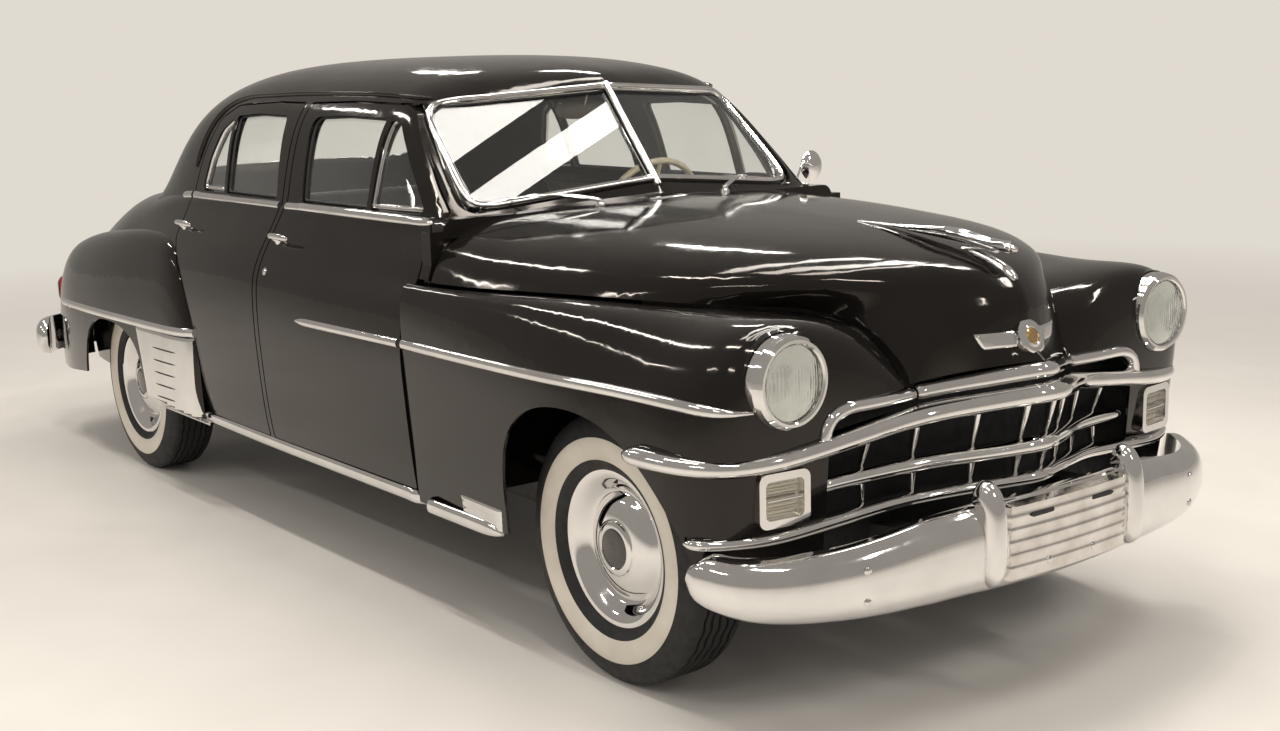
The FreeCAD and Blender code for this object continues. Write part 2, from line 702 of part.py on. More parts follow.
windows = {"front_door": [(front_glass_outline, front_glass_corners), (vent_outline, vent_corners)],
           "rear_door": [(rear_glass_outline, rear_glass_corners), (quarter_outline, quarter_corners)]}
outlines = {"front_door": (front_door_outline, front_door_corners),
            "rear_door": (rear_door_outline, rear_door_corners)}
hinge_s = {"front_door": -853, "rear_door": -1838}
rear_edge_s = {"front_door": -1803, "rear_door": -2606}
layer_depth = 38.0
doors = {}
glasses = {}
glass_outer = hull(greenhouse_rows(13))
glass_inner = hull(greenhouse_rows(13 + glass_thickness))
sill_cut = sbox(-2700, -800, 600, 790, 300, 402)
for name in ("front_door", "rear_door"):
    door = body.common(side_prism(*outlines[name])).cut(sill_cut)
    widths = lower_guides[2][5]
    if name == "front_door":
        door = door.cut(inner_edge_cut(-1810, -1778, layer_depth, widths))
    else:
        door = door.cut(inner_edge_cut(-2700, -2572, layer_depth, lower_guides[4][5]))
        low = [(-2318, 300), (-2336, 560), (-2372, 740), (-2450, 872), (-2540, 965), (-2560, 1100),
               (-2700, 1100), (-2700, 300)]
        layer = inner_edge_cut(-2700, -2300, layer_depth, lower_guides[3][5])
        door = door.cut(layer.common(side_prism(low, 4)))
    for outline, corners in windows[name]:
        door = door.cut(side_prism(outline, corners))
    panes = []
    for outline, corners in windows[name]:
        panes.append(glass_outer.common(side_prism(outline, corners, 640, -seat_gap)).cut(glass_inner))
    print(name, door.isValid(), len(door.Solids), [[round(s.Volume / 1e6, 2) for s in q.Solids] for q in panes])
    doors[name] = door
    glasses[name] = Part.makeCompound([s for q in panes for s in q.Solids])

for name in ("front_door", "rear_door"):
    opening = side_prism(*outlines[name], 600, panel_gap).cut(sill_cut)
    body = body.cut(fused([opening, mirrored(opening)]))

shield_prism = prism_x(windshield_outline, windshield_corners, X(-1330), X(-600))
rear_prism = prism_x(rear_window_outline, rear_window_corners, X(-3500), X(-2700))
body = body.cut(fused([shield_prism, mirrored(shield_prism), rear_prism]))
front_pocket = sbox(-853, -700, 830, 1000, 300, 1003)
body = body.cut(fused([front_pocket, mirrored(front_pocket)]))
cowl_piece = cowl.cut(upper_inner)
cowl_piece = cowl_piece.cut(sbox(-1000, -826, -1000, 1000, 900, 1300))
body = body.fuse(cowl_piece)
post = fused([sbox(-850, -770, 700, 862, 335, 960), sbox(-850, -800, 700, 828, 900, 1140)])
firewall = sbox(-826, -800, -720, 720, 335, 1160)
body = body.multiFuse([post, mirrored(post), firewall]).cut(tunnel_under)
print("body", body.isValid(), len(body.Solids), body.Volume / 1e9)

# ---- boot lid ----
lid_tilt = FreeCAD.Rotation(V(0, 1, 0), 45)


def lid_prism(growth=0.0):
    """The outline of the lid, drawn square to the slope of the tail."""
    half = Y(545)
    top = P(-3470, 0, 1120)
    low = P(-4296, 0, 600)
    along = V(-1, 0, -1).normalize()
    length = (low - top).dot(along)
    origin = top + V(-1, 0, 1) * 300
    pts = [origin + V(0, -half, 0), origin + V(0, half, 0),
           origin + along * length + V(0, half * 0.84, 0),
           origin + along * length + V(0, -half * 0.84, 0)]
    face = rounded_face(pts, [90, 90, 110, 110])
    if growth:
        face = grown(face, growth)
    return face.extrude(V(1, 0, -1) * 720)


lid_sheet = 22.0
deck_inner = flat_hull(lower_rows(lid_sheet, lid_sheet, 300))
trunk_lid = lower_outer.cut(deck_inner).common(lid_prism())
trunk_lid = trunk_lid.cut(sbox(-4299, -3000, -900, 900, 200, 590))
print("lid", trunk_lid.isValid(), len(trunk_lid.Solids), trunk_lid.BoundBox)
body = body.cut(lid_prism(panel_gap).cut(sbox(-4400, -3000, -900, 900, 200, 583)))
print("body", body.isValid(), [round(s.Volume / 1e9, 4) for s in body.Solids])


# ---- front fenders with their arches and the grille opening ----
def smooth_prism(points, straight, y0, y1):
    """A prism along Y: a smooth line through points, closed through straight corners."""
    curve = Part.BSplineCurve()
    curve.interpolate([V(X(s), Y(y0), Z(z)) for s, z in points])
    ends = [V(X(s), Y(y0), Z(z)) for s, z in straight]
    line = [V(X(points[-1][0]), Y(y0), Z(points[-1][1]))] + ends
    line.append(V(X(points[0][0]), Y(y0), Z(points[0][1])))
    edges = [curve.toShape()] + [Part.makeLine(p, q) for p, q in zip(line, line[1:])]
    return Part.Face(Part.Wire(edges)).extrude(V(0, Y(y1) - Y(y0), 0))


front_arch = smooth_prism([(-332, 430), (-330, 530), (-292, 640), (-190, 722), (-40, 754),
                           (110, 740), (245, 684), (350, 600), (430, 490), (470, 400)],
                          [(480, 250), (-332, 250)], 500, 1100)
rear_arch = smooth_prism([(-2790, 300), (-2815, 430), (-2880, 555), (-3010, 618), (-3188, 634),
                          (-3340, 615), (-3440, 560), (-3500, 460), (-3520, 380)],
                         [(-3530, 250), (-2790, 250)], 700, 1100)
grille_arch = [(-584, 700), (-578, 745), (-545, 775), (-299, 788), (0, 830), (299, 788), (545, 775),
               (578, 745), (584, 700)]


def grille_prism(drop=0.0, side=0.0):
    pts = [V(X(400), Y(y) + math.copysign(side, y), Z(z) - drop) for y, z in grille_arch]
    low0 = V(X(400), Y(-586) - side, Z(380))
    low1 = V(X(400), Y(586) + side, Z(380))
    return poly_face(pts + [low1, low0]).extrude(V(X(900) - X(400), 0, 0))


headlamp_centre = P(580, 708, 880)
headlamp_radius = 113.0
pod_wall = 8.0
lamp_bucket = cylinder(headlamp_radius - 14, 170, headlamp_centre - V(110, 0, 0), V(1, 0, 0))
pod_back = headlamp_centre - V(100, 0, 0)
pod = cylinder(headlamp_radius + 3, 84 - seat_gap, pod_back, V(1, 0, 0))
pod = pod.cut(cylinder(headlamp_radius + 3 - pod_wall, 84, pod_back, V(1, 0, 0)))
front_fender = fender_shell.cut(fused([front_arch, grille_prism(), lamp_bucket]))
front_fender = front_fender.fuse(pod)
rear_fender = rear_fender_shell.cut(rear_arch)
print("fenders", front_fender.isValid(), len(front_fender.Solids), rear_fender.isValid(),
      len(rear_fender.Solids))

# ---- grille: an arch and three waved bars with uprights between them ----
def bar_line(points, count=33):
    curve = Part.BSplineCurve()
    curve.interpolate([P(*p) for p in points])
    u0, u1 = curve.FirstParameter, curve.LastParameter
    return [curve.value(u0 + (u1 - u0) * i / (count - 1)) for i in range(count)]


def whole_line(points, count=33):
    """points run from the centre to the left end; the line runs from right to left."""
    half = [(s, -y, z) for s, y, z in points[:0:-1]]
    return bar_line(half + points, count)


# depth and height of the arch and the three bars
arch_size = (30, 34)
top_size = (40, 38)
mid_size = (34, 30)
low_size = (34, 28)
arch_line = whole_line([(766, 0, 836), (744, 55, 831), (690, 145, 818), (630, 230, 803), (596, 299, 794),
                        (584, 380, 791), (577, 470, 789), (573, 535, 785), (571, 576, 762),
                        (570, 588, 728), (570, 590, 690)], 33)
top_line = whole_line([(790, 0, 784), (764, 70, 778), (712, 165, 766), (662, 260, 753), (634, 340, 742),
                       (618, 440, 729), (606, 540, 716), (594, 640, 703), (574, 750, 692),
                       (522, 852, 686), (440, 912, 688), (330, 940, 692), (262, 946, 694)], 37)
mid_line = whole_line([(760, 0, 652), (740, 60, 647), (690, 165, 636), (640, 270, 625), (604, 370, 614),
                       (576, 480, 604), (552, 590, 595)], 25)
low_line = whole_line([(744, 0, 577), (726, 65, 574), (684, 170, 564), (640, 275, 552), (608, 380, 540),
                       (590, 500, 526), (578, 620, 513), (560, 730, 505), (520, 830, 502),
                       (476, 888, 502), (440, 908, 502)], 33)
arch_bar = bar(arch_line, *arch_size)
top_bar = bar(top_line, *top_size, 0.2, 0.2)
mid_bar = bar(mid_line, *mid_size, 0.2, 0.2)
low_bar = bar(low_line, *low_size, 0.2, 0.2)


def on_line(line, y):
    """The point of a bar's line at y."""
    for p, q in zip(line, line[1:]):
        if p.y <= y <= q.y:
            return p + (q - p) * ((y - p.y) / (q.y - p.y))
    return line[-1]


uprights = []
for y in (-470, -375, -270, -165, -50, 50, 165, 270, 375, 470):
    a, b, c = on_line(top_line, Y(y)), on_line(mid_line, Y(y)), on_line(low_line, Y(y))
    back = V(-16, 0, 0)
    sections = [oval_points(p + back, V(1, 0, 0), V(0, 1, 0), 13, 7, 2.4, 12) for p in (a, b, c)]
    uprights.append(Part.makeLoft([Part.makePolygon(q + [q[0]]) for q in sections], True, True))
arch_bar = max(arch_bar.cut(top_bar).Solids, key=lambda q: q.Volume)
grille = fused([top_bar, mid_bar, low_bar] + uprights)
backing_line = whole_line([(640, 0, 640), (600, 150, 640), (540, 300, 640), (516, 440, 640), (510, 575, 640)], 21)
print("grille", grille.isValid(), len(grille.Solids))


def curtain(line, thickness, z0, z1):
    """An upright sheet following a line in plan."""
    front = [V(p.x, p.y, 0) for p in line]
    back = [V(p.x - thickness, p.y, 0) for p in line[::-1]]
    return poly_face([p + V(0, 0, z0) for p in front + back]).extrude(V(0, 0, z1 - z0))


radiator_panel = curtain(backing_line, 14, Z(425), Z(790))

# ---- lamps ----
rim_profile = [(91, 30), (95, 34), (102, 34), (110, 24), (113, 8), (113, -16), (106, -16),
               (104, 4), (91, 24)]
lens_profile = [(0, 47), (38, 45), (66, 39), (90.5, 30), (90.5, 22), (66, 31), (38, 37), (0, 39)]
bowl_profile = [(0, -70), (58, -64), (86, -10), (90.5, 14), (90.5, 21.5), (0, 21.5)]
lamp_rim = revolved(rim_profile, headlamp_centre, V(1, 0, 0))
lamp_lens = revolved(lens_profile, headlamp_centre, V(1, 0, 0))
lamp_bowl = revolved(bowl_profile, headlamp_centre, V(1, 0, 0))
print("lamp", lamp_rim.isValid(), lamp_lens.isValid(), lamp_rim.BoundBox)


def block_on(centre, direction, width, height, depth, radius):
    """A block with rounded corners whose front face looks along direction."""
    d = V(direction).normalize()
    side = V(0, 0, 1).cross(d).normalize()
    up = d.cross(side)
    w, h = width / 2, height / 2
    pts = [centre - side * w - up * h, centre + side * w - up * h,
           centre + side * w + up * h, centre - side * w + up * h]
    return rounded_face(pts, radius).extrude(d * -depth)


park_centre = P(586, 718, 603)
park_look = V(1, 0.12, 0)
park_width, park_height = 146.0, 132.0
park_rim = block_on(park_centre, park_look, park_width, park_height, 62, 22)
park_hole = block_on(park_centre + V(1, 0.12, 0), park_look, park_width - 36, park_height - 38, 22, 14)
park_rim = park_rim.cut(park_hole)
park_lens = block_on(park_centre - V(3, 0.36, 0), park_look, park_width - 36.6, park_height - 38.6, 10, 13.7)

# ---- bumpers ----
front_blade_line = whole_line([(820, 0, 437), (814, 180, 437), (792, 380, 434), (752, 570, 417),
                               (690, 740, 409), (612, 850, 410), (535, 905, 424), (478, 925, 440)], 27)
blade_heights = [(0, 226), (270, 222), (420, 214), (520, 197), (640, 180), (750, 166), (850, 152), (905, 134),
                 (930, 112)]


def height_at(y, table):
    """The height given for y in a table of (y, height)."""
    y = min(max(y, table[0][0]), table[-1][0])
    for (y0, h0), (y1, h1) in zip(table, table[1:]):
        if y <= y1:
            return h0 + (h1 - h0) * (y - y0) / (y1 - y0)
    return table[-1][1]


front_heights = [height_at(abs(p.y) * ref_width / overall_width, blade_heights) for p in front_blade_line]
front_bumper = bar(front_blade_line, 62, front_heights, 0.35, 0.35, 2.6, count=13)
guards = []
for y in (-268, 268):
    pts = bar_line([(824, y, 350), (833, y, 400), (834, y, 500), (822, y, 560), (788, y, 601)], 9)
    guards.append(bar(pts, 56, 66, 0.4, 0.3, 2.4, V(0, -1, 0)))
front_bumper = fused([front_bumper] + guards)
print("bumper", front_bumper.isValid(), len(front_bumper.Solids), front_bumper.BoundBox)
rear_blade_line = whole_line([(-4396, 0, 444), (-4394, 200, 444), (-4384, 420, 444), (-4358, 620, 444),
                              (-4308, 780, 444), (-4226, 890, 444), (-4110, 932, 444)], 25)
rear_bumper = bar(rear_blade_line, 62, 160, 0.35, 0.35, 2.6, V(0, 0, -1), 13)
rear_guards = []
for y in (-300, 300):
    pts = [P(-4404, y, z) for z in (355, 390, 440, 490, 535, 570)]
    rear_guards.append(bar(pts, 48, 58, 0.3, 0.3, 2.4, V(0, 1, 0)))
rear_bumper = fused([rear_bumper] + rear_guards)
print("rear bumper", rear_bumper.isValid(), len(rear_bumper.Solids), rear_bumper.BoundBox)

# ---- wheels and tyres ----
tyre_half = tyre_width / 2
rim_r = rim_diameter / 2
tyre_r = tyre_diameter / 2
tyre_half_profile = [(rim_r - 12, 62), (rim_r + 2, 76), (rim_r + 28, 92), (rim_r + 66, tyre_half),
                     (tyre_r - 52, tyre_half - 4), (tyre_r - 20, tyre_half - 16), (tyre_r - 4, 70),
                     (tyre_r, 56)]
tyre_profile = tyre_half_profile + [(r, -a) for r, a in tyre_half_profile[::-1]]


def wheel_profile(face_out, bore):
    """Rim, disc and hub cap in one turned profile; face_out is the cap's reach outward."""
    r = rim_r
    seat = r - 12 - seat_gap
    return [(0, face_out), (50, face_out - 1), (56, face_out - 5), (74, face_out - 8),
            (100, face_out - 15), (128, face_out - 30), (142, 36), (150, 33), (162, 38), (176, 56),
            (186, 74), (198, 84), (r + 4, 84), (r + 3, 78), (r - 1, 74), (seat, 63), (seat, -63),
            (r - 1, -74), (r + 2, -80), (r - 2, -80), (seat - 5, -66), (seat - 5, 16),
            (150, 20), (120, 10), (70, 6), (42, 0), (40, -28), (bore, -28), (bore, face_out - 16),
            (0, face_out - 16)]


def wheel_at(x, y, cap, bore):
    rim = revolved(wheel_profile(cap, bore), V(x, y, wheel_z), V(0, 1, 0))
    tyre = revolved(tyre_profile, V(x, y, wheel_z), V(0, 1, 0))
    return rim, tyre


spindle_r = 20.0
front_wheel, front_tyre = wheel_at(front_axle_x, front_track / 2, 77, spindle_r + 1)
rear_wheel, rear_tyre = wheel_at(rear_axle_x, rear_track / 2, 85, spindle_r + 1)
print("wheels", front_wheel.isValid(), front_tyre.isValid(), front_wheel.BoundBox)

# ---- chassis ----
def beam(path, width, height):
    wires = []
    for p in path:
        w, h = width / 2, height / 2
        pts = [p + V(0, -w, -h), p + V(0, w, -h), p + V(0, w, h), p + V(0, -w, h)]
        wires.append(Part.makePolygon(pts + [pts[0]]))
    return Part.makeLoft(wires, True, True)


rail_path = [P(*q) for q in [(640, 345, 420), (300, 352, 400), (-250, 352, 330), (-700, 430, 306),
                             (-2480, 430, 306), (-2800, 430, 400), (-3050, 400, 500),
                             (-3330, 400, 500), (-3600, 400, 440), (-4230, 400, 420)]]
rail = beam(rail_path, 66, 104)
cross = [sbox(-80, 80, -340, 340, 250, 330), sbox(560, 640, -350, 350, 384, 440),
         sbox(-1300, -1240, -410, 410, 262, 300), sbox(-2400, -2340, -410, 410, 262, 300),
         sbox(-3720, -3660, -400, 400, 400, 470), sbox(-4230, -4180, -400, 400, 380, 460)]
brackets = []
for y in (-330, 330):
    brackets.append(sbox(600, 812, y - 22, y + 22, 440, 470))
    brackets.append(sbox(-4392, -4200, y - 22, y + 22, 450, 485))
chassis = fused([rail, mirrored(rail)] + cross + brackets)
print("chassis", chassis.isValid(), len(chassis.Solids))
engine = fused([sbox(-600, 230, -215, 215, 300, 950), sbox(-1150, -600, -95, 95, 250, 465)])
engine = engine.cut(sbox(-240, 240, -330, 330, 200, 330 + seat_gap))
axle_tube = cylinder(42, Y(1240), V(rear_axle_x, -Y(620), wheel_z), V(0, 1, 0))
axle_shaft = cylinder(spindle_r, rear_track + 100, V(rear_axle_x, -rear_track / 2 - 50, wheel_z), V(0, 1, 0))
diff = Part.makeSphere(128, V(rear_axle_x, 0, wheel_z))
rear_drum = cylinder(145, 34, V(rear_axle_x, Y(628), wheel_z), V(0, 1, 0))
nose = cylinder(50, 150, V(rear_axle_x + 100, 0, wheel_z), V(1, 0, 0))
rear_axle = fused([axle_tube, axle_shaft, diff, nose, rear_drum, mirrored(rear_drum)])
propshaft = rod(V(rear_axle_x + 250 + seat_gap, 0, wheel_z), P(-1150 - seat_gap, 0, 370), 34)
spring_path = [P(-2560, 520, 320), P(-2850, 520, 292), P(-3188, 520, 307.7), P(-3550, 520, 292),
               P(-3880, 520, 330)]
spring = beam(spring_path, 56, 26)
hanger = fused([sbox(-2590, -2540, 463.3, 548, 300, 340), sbox(-3900, -3850, 433.3, 548, 318, 420)])
spring_set = spring.fuse(hanger)

# ---- front suspension and steering ----
kingpin_y = 662.0
kingpin_s = 0.0
pin_bottom, pin_top = 225.0, 505.0
kx = front_axle_x
lower_arm = Part.makeLoft([Part.makePolygon([V(kx - w, Y(y), Z(z)), V(kx + w, Y(y), Z(z)),
                                             V(kx + w, Y(y), Z(z) + 22), V(kx - w, Y(y), Z(z) + 22),
                                             V(kx - w, Y(y), Z(z))])
                           for y, z, w in ((340.3, 262, 150), (kingpin_y + 26, 196, 30))], True, True)
upper_arm = Part.makeLoft([Part.makePolygon([V(kx - w, Y(y), Z(z)), V(kx + w, Y(y), Z(z)),
                                             V(kx + w, Y(y), Z(z) + 18), V(kx - w, Y(y), Z(z) + 18),
                                             V(kx - w, Y(y), Z(z))])
                           for y, z, w in ((352, 470, 80), (kingpin_y + 22, 514, 26))], True, True)
coil = cylinder(58, Z(452) - Z(255), P(0, 470, 255), V(0, 0, 1))
tower = sbox(-90, 90, 330, 540, 395, 470).cut(rail.translated(V(0, 0, seat_gap)))
pads = [cylinder(27, 22, V(kx, Y(kingpin_y), Z(222) - seat_gap), V(0, 0, -1)),
        cylinder(27, 22, V(kx, Y(kingpin_y), Z(508) + seat_gap), V(0, 0, 1))]
pin_room = cylinder(28, Z(508) - Z(222) + 2 * seat_gap, V(kx, Y(kingpin_y), Z(222) - seat_gap), V(0, 0, 1))
front_suspension = fused([lower_arm, coil, tower, upper_arm]).cut(pin_room)
front_suspension = fused([front_suspension] + pads)
front_suspension = both(front_suspension)
knuckle_post = cylinder(22, Z(508) - Z(222), V(kx, Y(kingpin_y), Z(222)), V(0, 0, 1))
knuckle_axle = cylinder(spindle_r, 108, V(kx, Y(kingpin_y), wheel_z), V(0, 1, 0))
knuckle_drum = cylinder(118, 10, V(kx, Y(kingpin_y) - 6, wheel_z), V(0, 1, 0))
knuckle = fused([knuckle_post, knuckle_axle, knuckle_drum])
print("knuckle", knuckle.isValid(), len(knuckle.Solids), front_suspension.isValid())

column_low = P(-560, 385, 760)
wheel_centre = P(-1330, 385, 1062)
column_axis = (wheel_centre - column_low).normalize()
column = rod(column_low, wheel_centre - column_axis * (48 + seat_gap), 24)
gearbox = sbox(-620, -520, 352, 428, 330, 780).cut(rail.translated(V(0, 0, seat_gap)))
steering_column = fused([column, gearbox])
body = body.cut(rod(column_low, wheel_centre, 32))


def hoop(radius, thick, sides, facets):
    """A ring of flat facets round the steering axis."""
    turn = FreeCAD.Rotation(V(0, 0, 1), column_axis)
    profile = []
    for i in range(facets):
        q = 2 * math.pi * (i + 0.5) / facets
        profile.append((radius + thick * math.cos(q), thick * math.sin(q)))
    wires = []
    for j in range(sides):
        q = 2 * math.pi * j / sides
        pts = [wheel_centre + turn.multVec(V(r * math.cos(q), r * math.sin(q), a)) for r, a in profile]
        wires.append(pts)
    faces = []
    for j in range(sides):
        a, b = wires[j], wires[(j + 1) % sides]
        for i in range(facets):
            n = (i + 1) % facets
            faces.append(poly_face([a[i], a[n], b[n], b[i]]))
    return sewn(faces)


ring = hoop(212, 12, 40, 8)
hub = cylinder(34, 62, wheel_centre - column_axis * 48, column_axis)
spokes = []
for q in (90, 210, 330):
    rot = FreeCAD.Rotation(V(0, 0, 1), column_axis)
    d = rot.multVec(V(math.cos(math.radians(q)), math.sin(math.radians(q)), 0))
    spokes.append(rod(wheel_centre + d * 10, wheel_centre + d * 206, 9))
horn_ring = hoop(120, 5, 28, 6)
steering_wheel = fused([ring, hub, horn_ring] + spokes)
print("steering", steering_wheel.isValid(), len(steering_wheel.Solids))

# ---- cabin ----
def cushion(points, width, radius, y_mid=0.0):
    """A seat cushion from its side shape of (s, z) points, width across the car."""
    face = rounded_face([V(X(s), Y(y_mid) - Y(width) / 2, Z(z)) for s, z in points], radius)
    return face.extrude(V(0, Y(width), 0))


front_seat = fused([cushion([(-1500, 560), (-1520, 690), (-2010, 650), (-2010, 480), (-1560, 480)], 1290, 45),
                    cushion([(-1935, 560), (-1965, 1105), (-2080, 1105), (-2110, 480), (-1960, 480)], 1290, 45),
                    sbox(-2000, -1600, -560, 560, 400 + seat_gap, 500)])
front_seat = front_seat.cut(cylinder(Z(180) + seat_gap, 900, P(-2300, 0, 340), V(1, 0, 0)))
rear_seat = fused([cushion([(-2480, 586), (-2500, 735), (-2905, 690), (-2905, 585.3)], 1190, 50),
                   cushion([(-2800, 640), (-2870, 1108), (-2960, 1108), (-2960, 640)], 1180, 40)])
dash = cushion([(-826.3, 1128), (-1010, 1128), (-1046, 1080), (-1020, 900), (-980, 880), (-826.3, 960)], 1380, 12)
dash = dash.cut(rod(column_low, wheel_centre, 32))
for s in (front_seat, rear_seat, dash):
    print("cabin", s.isValid(), len(s.Solids))

windshield_shell = hull(greenhouse_rows(11)).cut(hull(greenhouse_rows(11 + glass_thickness)))
small = rounded_face([V(X(-1330), Y(y), Z(z)) for y, z in windshield_outline], windshield_corners)
small = grown(small, -seat_gap).extrude(V(X(-600) - X(-1330), 0, 0))
pane = windshield_shell.common(small).cut(side_prism(*outlines["front_door"], 600, panel_gap))
windshield_glass = both(pane)
small_rear = grown(rounded_face([V(X(-3500), Y(y), Z(z)) for y, z in rear_window_outline],
                                rear_window_corners), -seat_gap).extrude(V(X(-2700) - X(-3500), 0, 0))
rear_glass = windshield_shell.common(small_rear)
print("glass", len(windshield_glass.Solids), len(rear_glass.Solids))

tail_centre = P(-4250, 752, 640)
tail_look = V(-1, 0.35, 0.1)
tail_lamp = block_on(tail_centre + V(-14, 5, 0), tail_look, 84, 118, 90, 30)
tail_room = block_on(tail_centre + V(-16, 5.7, 0.2), tail_look, 84 + 2 * seat_gap, 118 + 2 * seat_gap, 94, 30)
rear_fender = rear_fender.cut(tail_room)
rear_fender = rear_fender.cut(lower_outer)
rear_fender = rear_fender.cut(side_prism(*outlines["rear_door"], 600, panel_gap))
rear_fender = max(rear_fender.Solids, key=lambda q: q.Volume)
body = body.cut(fused([tail_room, mirrored(tail_room)]))

lamp_room = cylinder(headlamp_radius + seat_gap, 200, headlamp_centre - V(16 + seat_gap, 0, 0), V(1, 0, 0))
park_room = block_on(park_centre + V(2, 0.24, 0), park_look, park_width + 2 * seat_gap,
                     park_height + 2 * seat_gap, 66, 22)
slack = 2 * seat_gap
rooms = [lamp_room, park_room]
for line, (depth, height) in ((arch_line, arch_size), (top_line, top_size), (mid_line, mid_size),
                              (low_line, low_size)):
    rooms.append(slot_along(line, depth + slack, height + slack))
for room in rooms:
    front_fender = front_fender.cut(room)
    print("fender", front_fender.isValid(), [round(q.Volume) for q in front_fender.Solids])
print("fenders", front_fender.isValid(), len(front_fender.Solids), [round(q.Volume) for q in front_fender.Solids],
      rear_fender.isValid(), len(rear_fender.Solids))
chassis = chassis.cut(front_bumper.translated(V(-seat_gap, 0, 0)))
chassis = chassis.cut(rear_bumper.translated(V(seat_gap, 0, 0)))
radiator_panel = radiator_panel.cut(chassis)
hood_hinge = fused([sbox(-640, -530, 70, 100, 1150, 1172), sbox(-640, -605, 70, 100, 1150, 1190),
                    hinge_pin(hood, -545, 85, 1160)])
lid_hinge = fused([sbox(-3520, -3432, 285, 315, 1058, 1072), sbox(-3447, -3432, 285, 315, 1058, 1106),
                   hinge_pin(trunk_lid, -3500, 300, 1060)])
fender_mount = min(sbox(-830, -800, 855, 910, 480, 540).cut(front_fender).Solids, key=lambda q: q.BoundBox.YMin)
mounts = [hood_hinge, lid_hinge, fender_mount]
body = body.multiFuse(mounts + [mirrored(q) for q in mounts])
rail_room = beam(rail_path, 66 + slack, 104 + slack)
bracket_room = box(X(-4400), X(-4200), Y(308) - seat_gap, Y(352) + seat_gap, Z(450) - seat_gap, Z(485) + seat_gap)
body = body.cut(fused([rail_room, mirrored(rail_room), bracket_room, mirrored(bracket_room)]))
print("body", body.isValid(), [round(s.Volume / 1e9, 4) for s in body.Solids])
print("chassis", chassis.isValid(), len(chassis.Solids))
fuel_tank = sbox(-4130, -3740, -350, 350, 400, 570 - seat_gap)
exhaust_r = 24.0
pipe_z = 262 - exhaust_r - seat_gap
pipe_path = [P(-330, -215 - seat_gap, 420), P(-330, -250, 420), P(-420, -255, pipe_z), P(-1500, -255, pipe_z)]
back_path = [P(-2150, -255, pipe_z), P(-2720, -255, pipe_z), P(-3900, -300, 270), P(-4330, -300, 270)]
exhaust = [rod(pipe_path[-1], back_path[0], 75)]
for path in (pipe_path, back_path):
    exhaust += [rod(p, q, exhaust_r) for p, q in zip(path, path[1:])]
    exhaust += [Part.makeSphere(exhaust_r, p) for p in path[1:-1]]
exhaust = fused(exhaust)

pieces = {
    "body_shell": body,
    "front_fender_left": front_fender,
    "front_fender_right": mirrored(front_fender),
    "rear_fender_left": rear_fender,
    "rear_fender_right": mirrored(rear_fender),
    "hood": hood,
    "trunk_lid": trunk_lid,
    "door_front_left": doors["front_door"],
    "door_front_right": mirrored(doors["front_door"]),
    "door_rear_left": doors["rear_door"],
    "door_rear_right": mirrored(doors["rear_door"]),
    "glass_front_left": glasses["front_door"],
    "glass_front_right": mirrored(glasses["front_door"]),
    "glass_rear_left": glasses["rear_door"],
    "glass_rear_right": mirrored(glasses["rear_door"]),
    "windshield_glass": windshield_glass,
    "rear_window": rear_glass,
    "grille": grille,
    "grille_arch": arch_bar,
    "radiator_panel": radiator_panel,
    "headlamp_rims": both(lamp_rim),
    "headlamp_lenses": both(lamp_lens),
    "headlamp_bowls": both(lamp_bowl),
    "parking_lamp_rims": both(park_rim),
    "parking_lamp_lenses": both(park_lens),
    "tail_lamps": both(tail_lamp),
    "front_bumper": front_bumper,
    "rear_bumper": rear_bumper,
    "chassis_frame": chassis,
    "engine_block": engine,
    "propshaft": propshaft,
    "rear_axle": rear_axle,
    "rear_springs": both(spring_set),
    "front_suspension": front_suspension,
    "exhaust_pipe": exhaust,
    "fuel_tank": fuel_tank,
    "steering_column": steering_column,
    "steering_wheel": steering_wheel,
    "front_seat": front_seat,
    "rear_seat": rear_seat,
    "dashboard": dash,
    "knuckle_left": knuckle,
    "knuckle_right": mirrored(knuckle),
    "wheel_front_left": front_wheel,
    "wheel_front_right": mirrored(front_wheel),
    "wheel_rear_left": rear_wheel,
    "wheel_rear_right": mirrored(rear_wheel),
    "tyre_front_left": front_tyre,
    "tyre_front_right": mirrored(front_tyre),
    "tyre_rear_left": rear_tyre,
    "tyre_rear_right": mirrored(rear_tyre),
}
for name, shape in pieces.items():
    write(name, shape)
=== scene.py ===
import json
import math
import bpy
import bmesh
import numpy as np
from mathutils import Matrix, Vector
from mathutils.bvhtree import BVHTree


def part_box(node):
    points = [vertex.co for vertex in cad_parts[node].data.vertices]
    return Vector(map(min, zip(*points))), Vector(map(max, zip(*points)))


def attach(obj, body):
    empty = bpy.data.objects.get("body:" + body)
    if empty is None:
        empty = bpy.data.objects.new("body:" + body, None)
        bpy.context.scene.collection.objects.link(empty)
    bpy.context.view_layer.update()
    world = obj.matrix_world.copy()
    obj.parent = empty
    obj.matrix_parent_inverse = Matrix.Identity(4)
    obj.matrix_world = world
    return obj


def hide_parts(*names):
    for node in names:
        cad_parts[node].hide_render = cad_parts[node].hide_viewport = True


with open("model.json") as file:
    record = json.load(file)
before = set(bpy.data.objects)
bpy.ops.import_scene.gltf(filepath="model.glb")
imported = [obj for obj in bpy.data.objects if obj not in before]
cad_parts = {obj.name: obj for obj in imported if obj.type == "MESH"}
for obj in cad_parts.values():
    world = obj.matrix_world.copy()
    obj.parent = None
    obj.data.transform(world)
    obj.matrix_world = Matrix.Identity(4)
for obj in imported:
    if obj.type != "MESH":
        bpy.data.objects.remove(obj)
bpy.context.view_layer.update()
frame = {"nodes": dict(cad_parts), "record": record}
nodes = frame["nodes"]
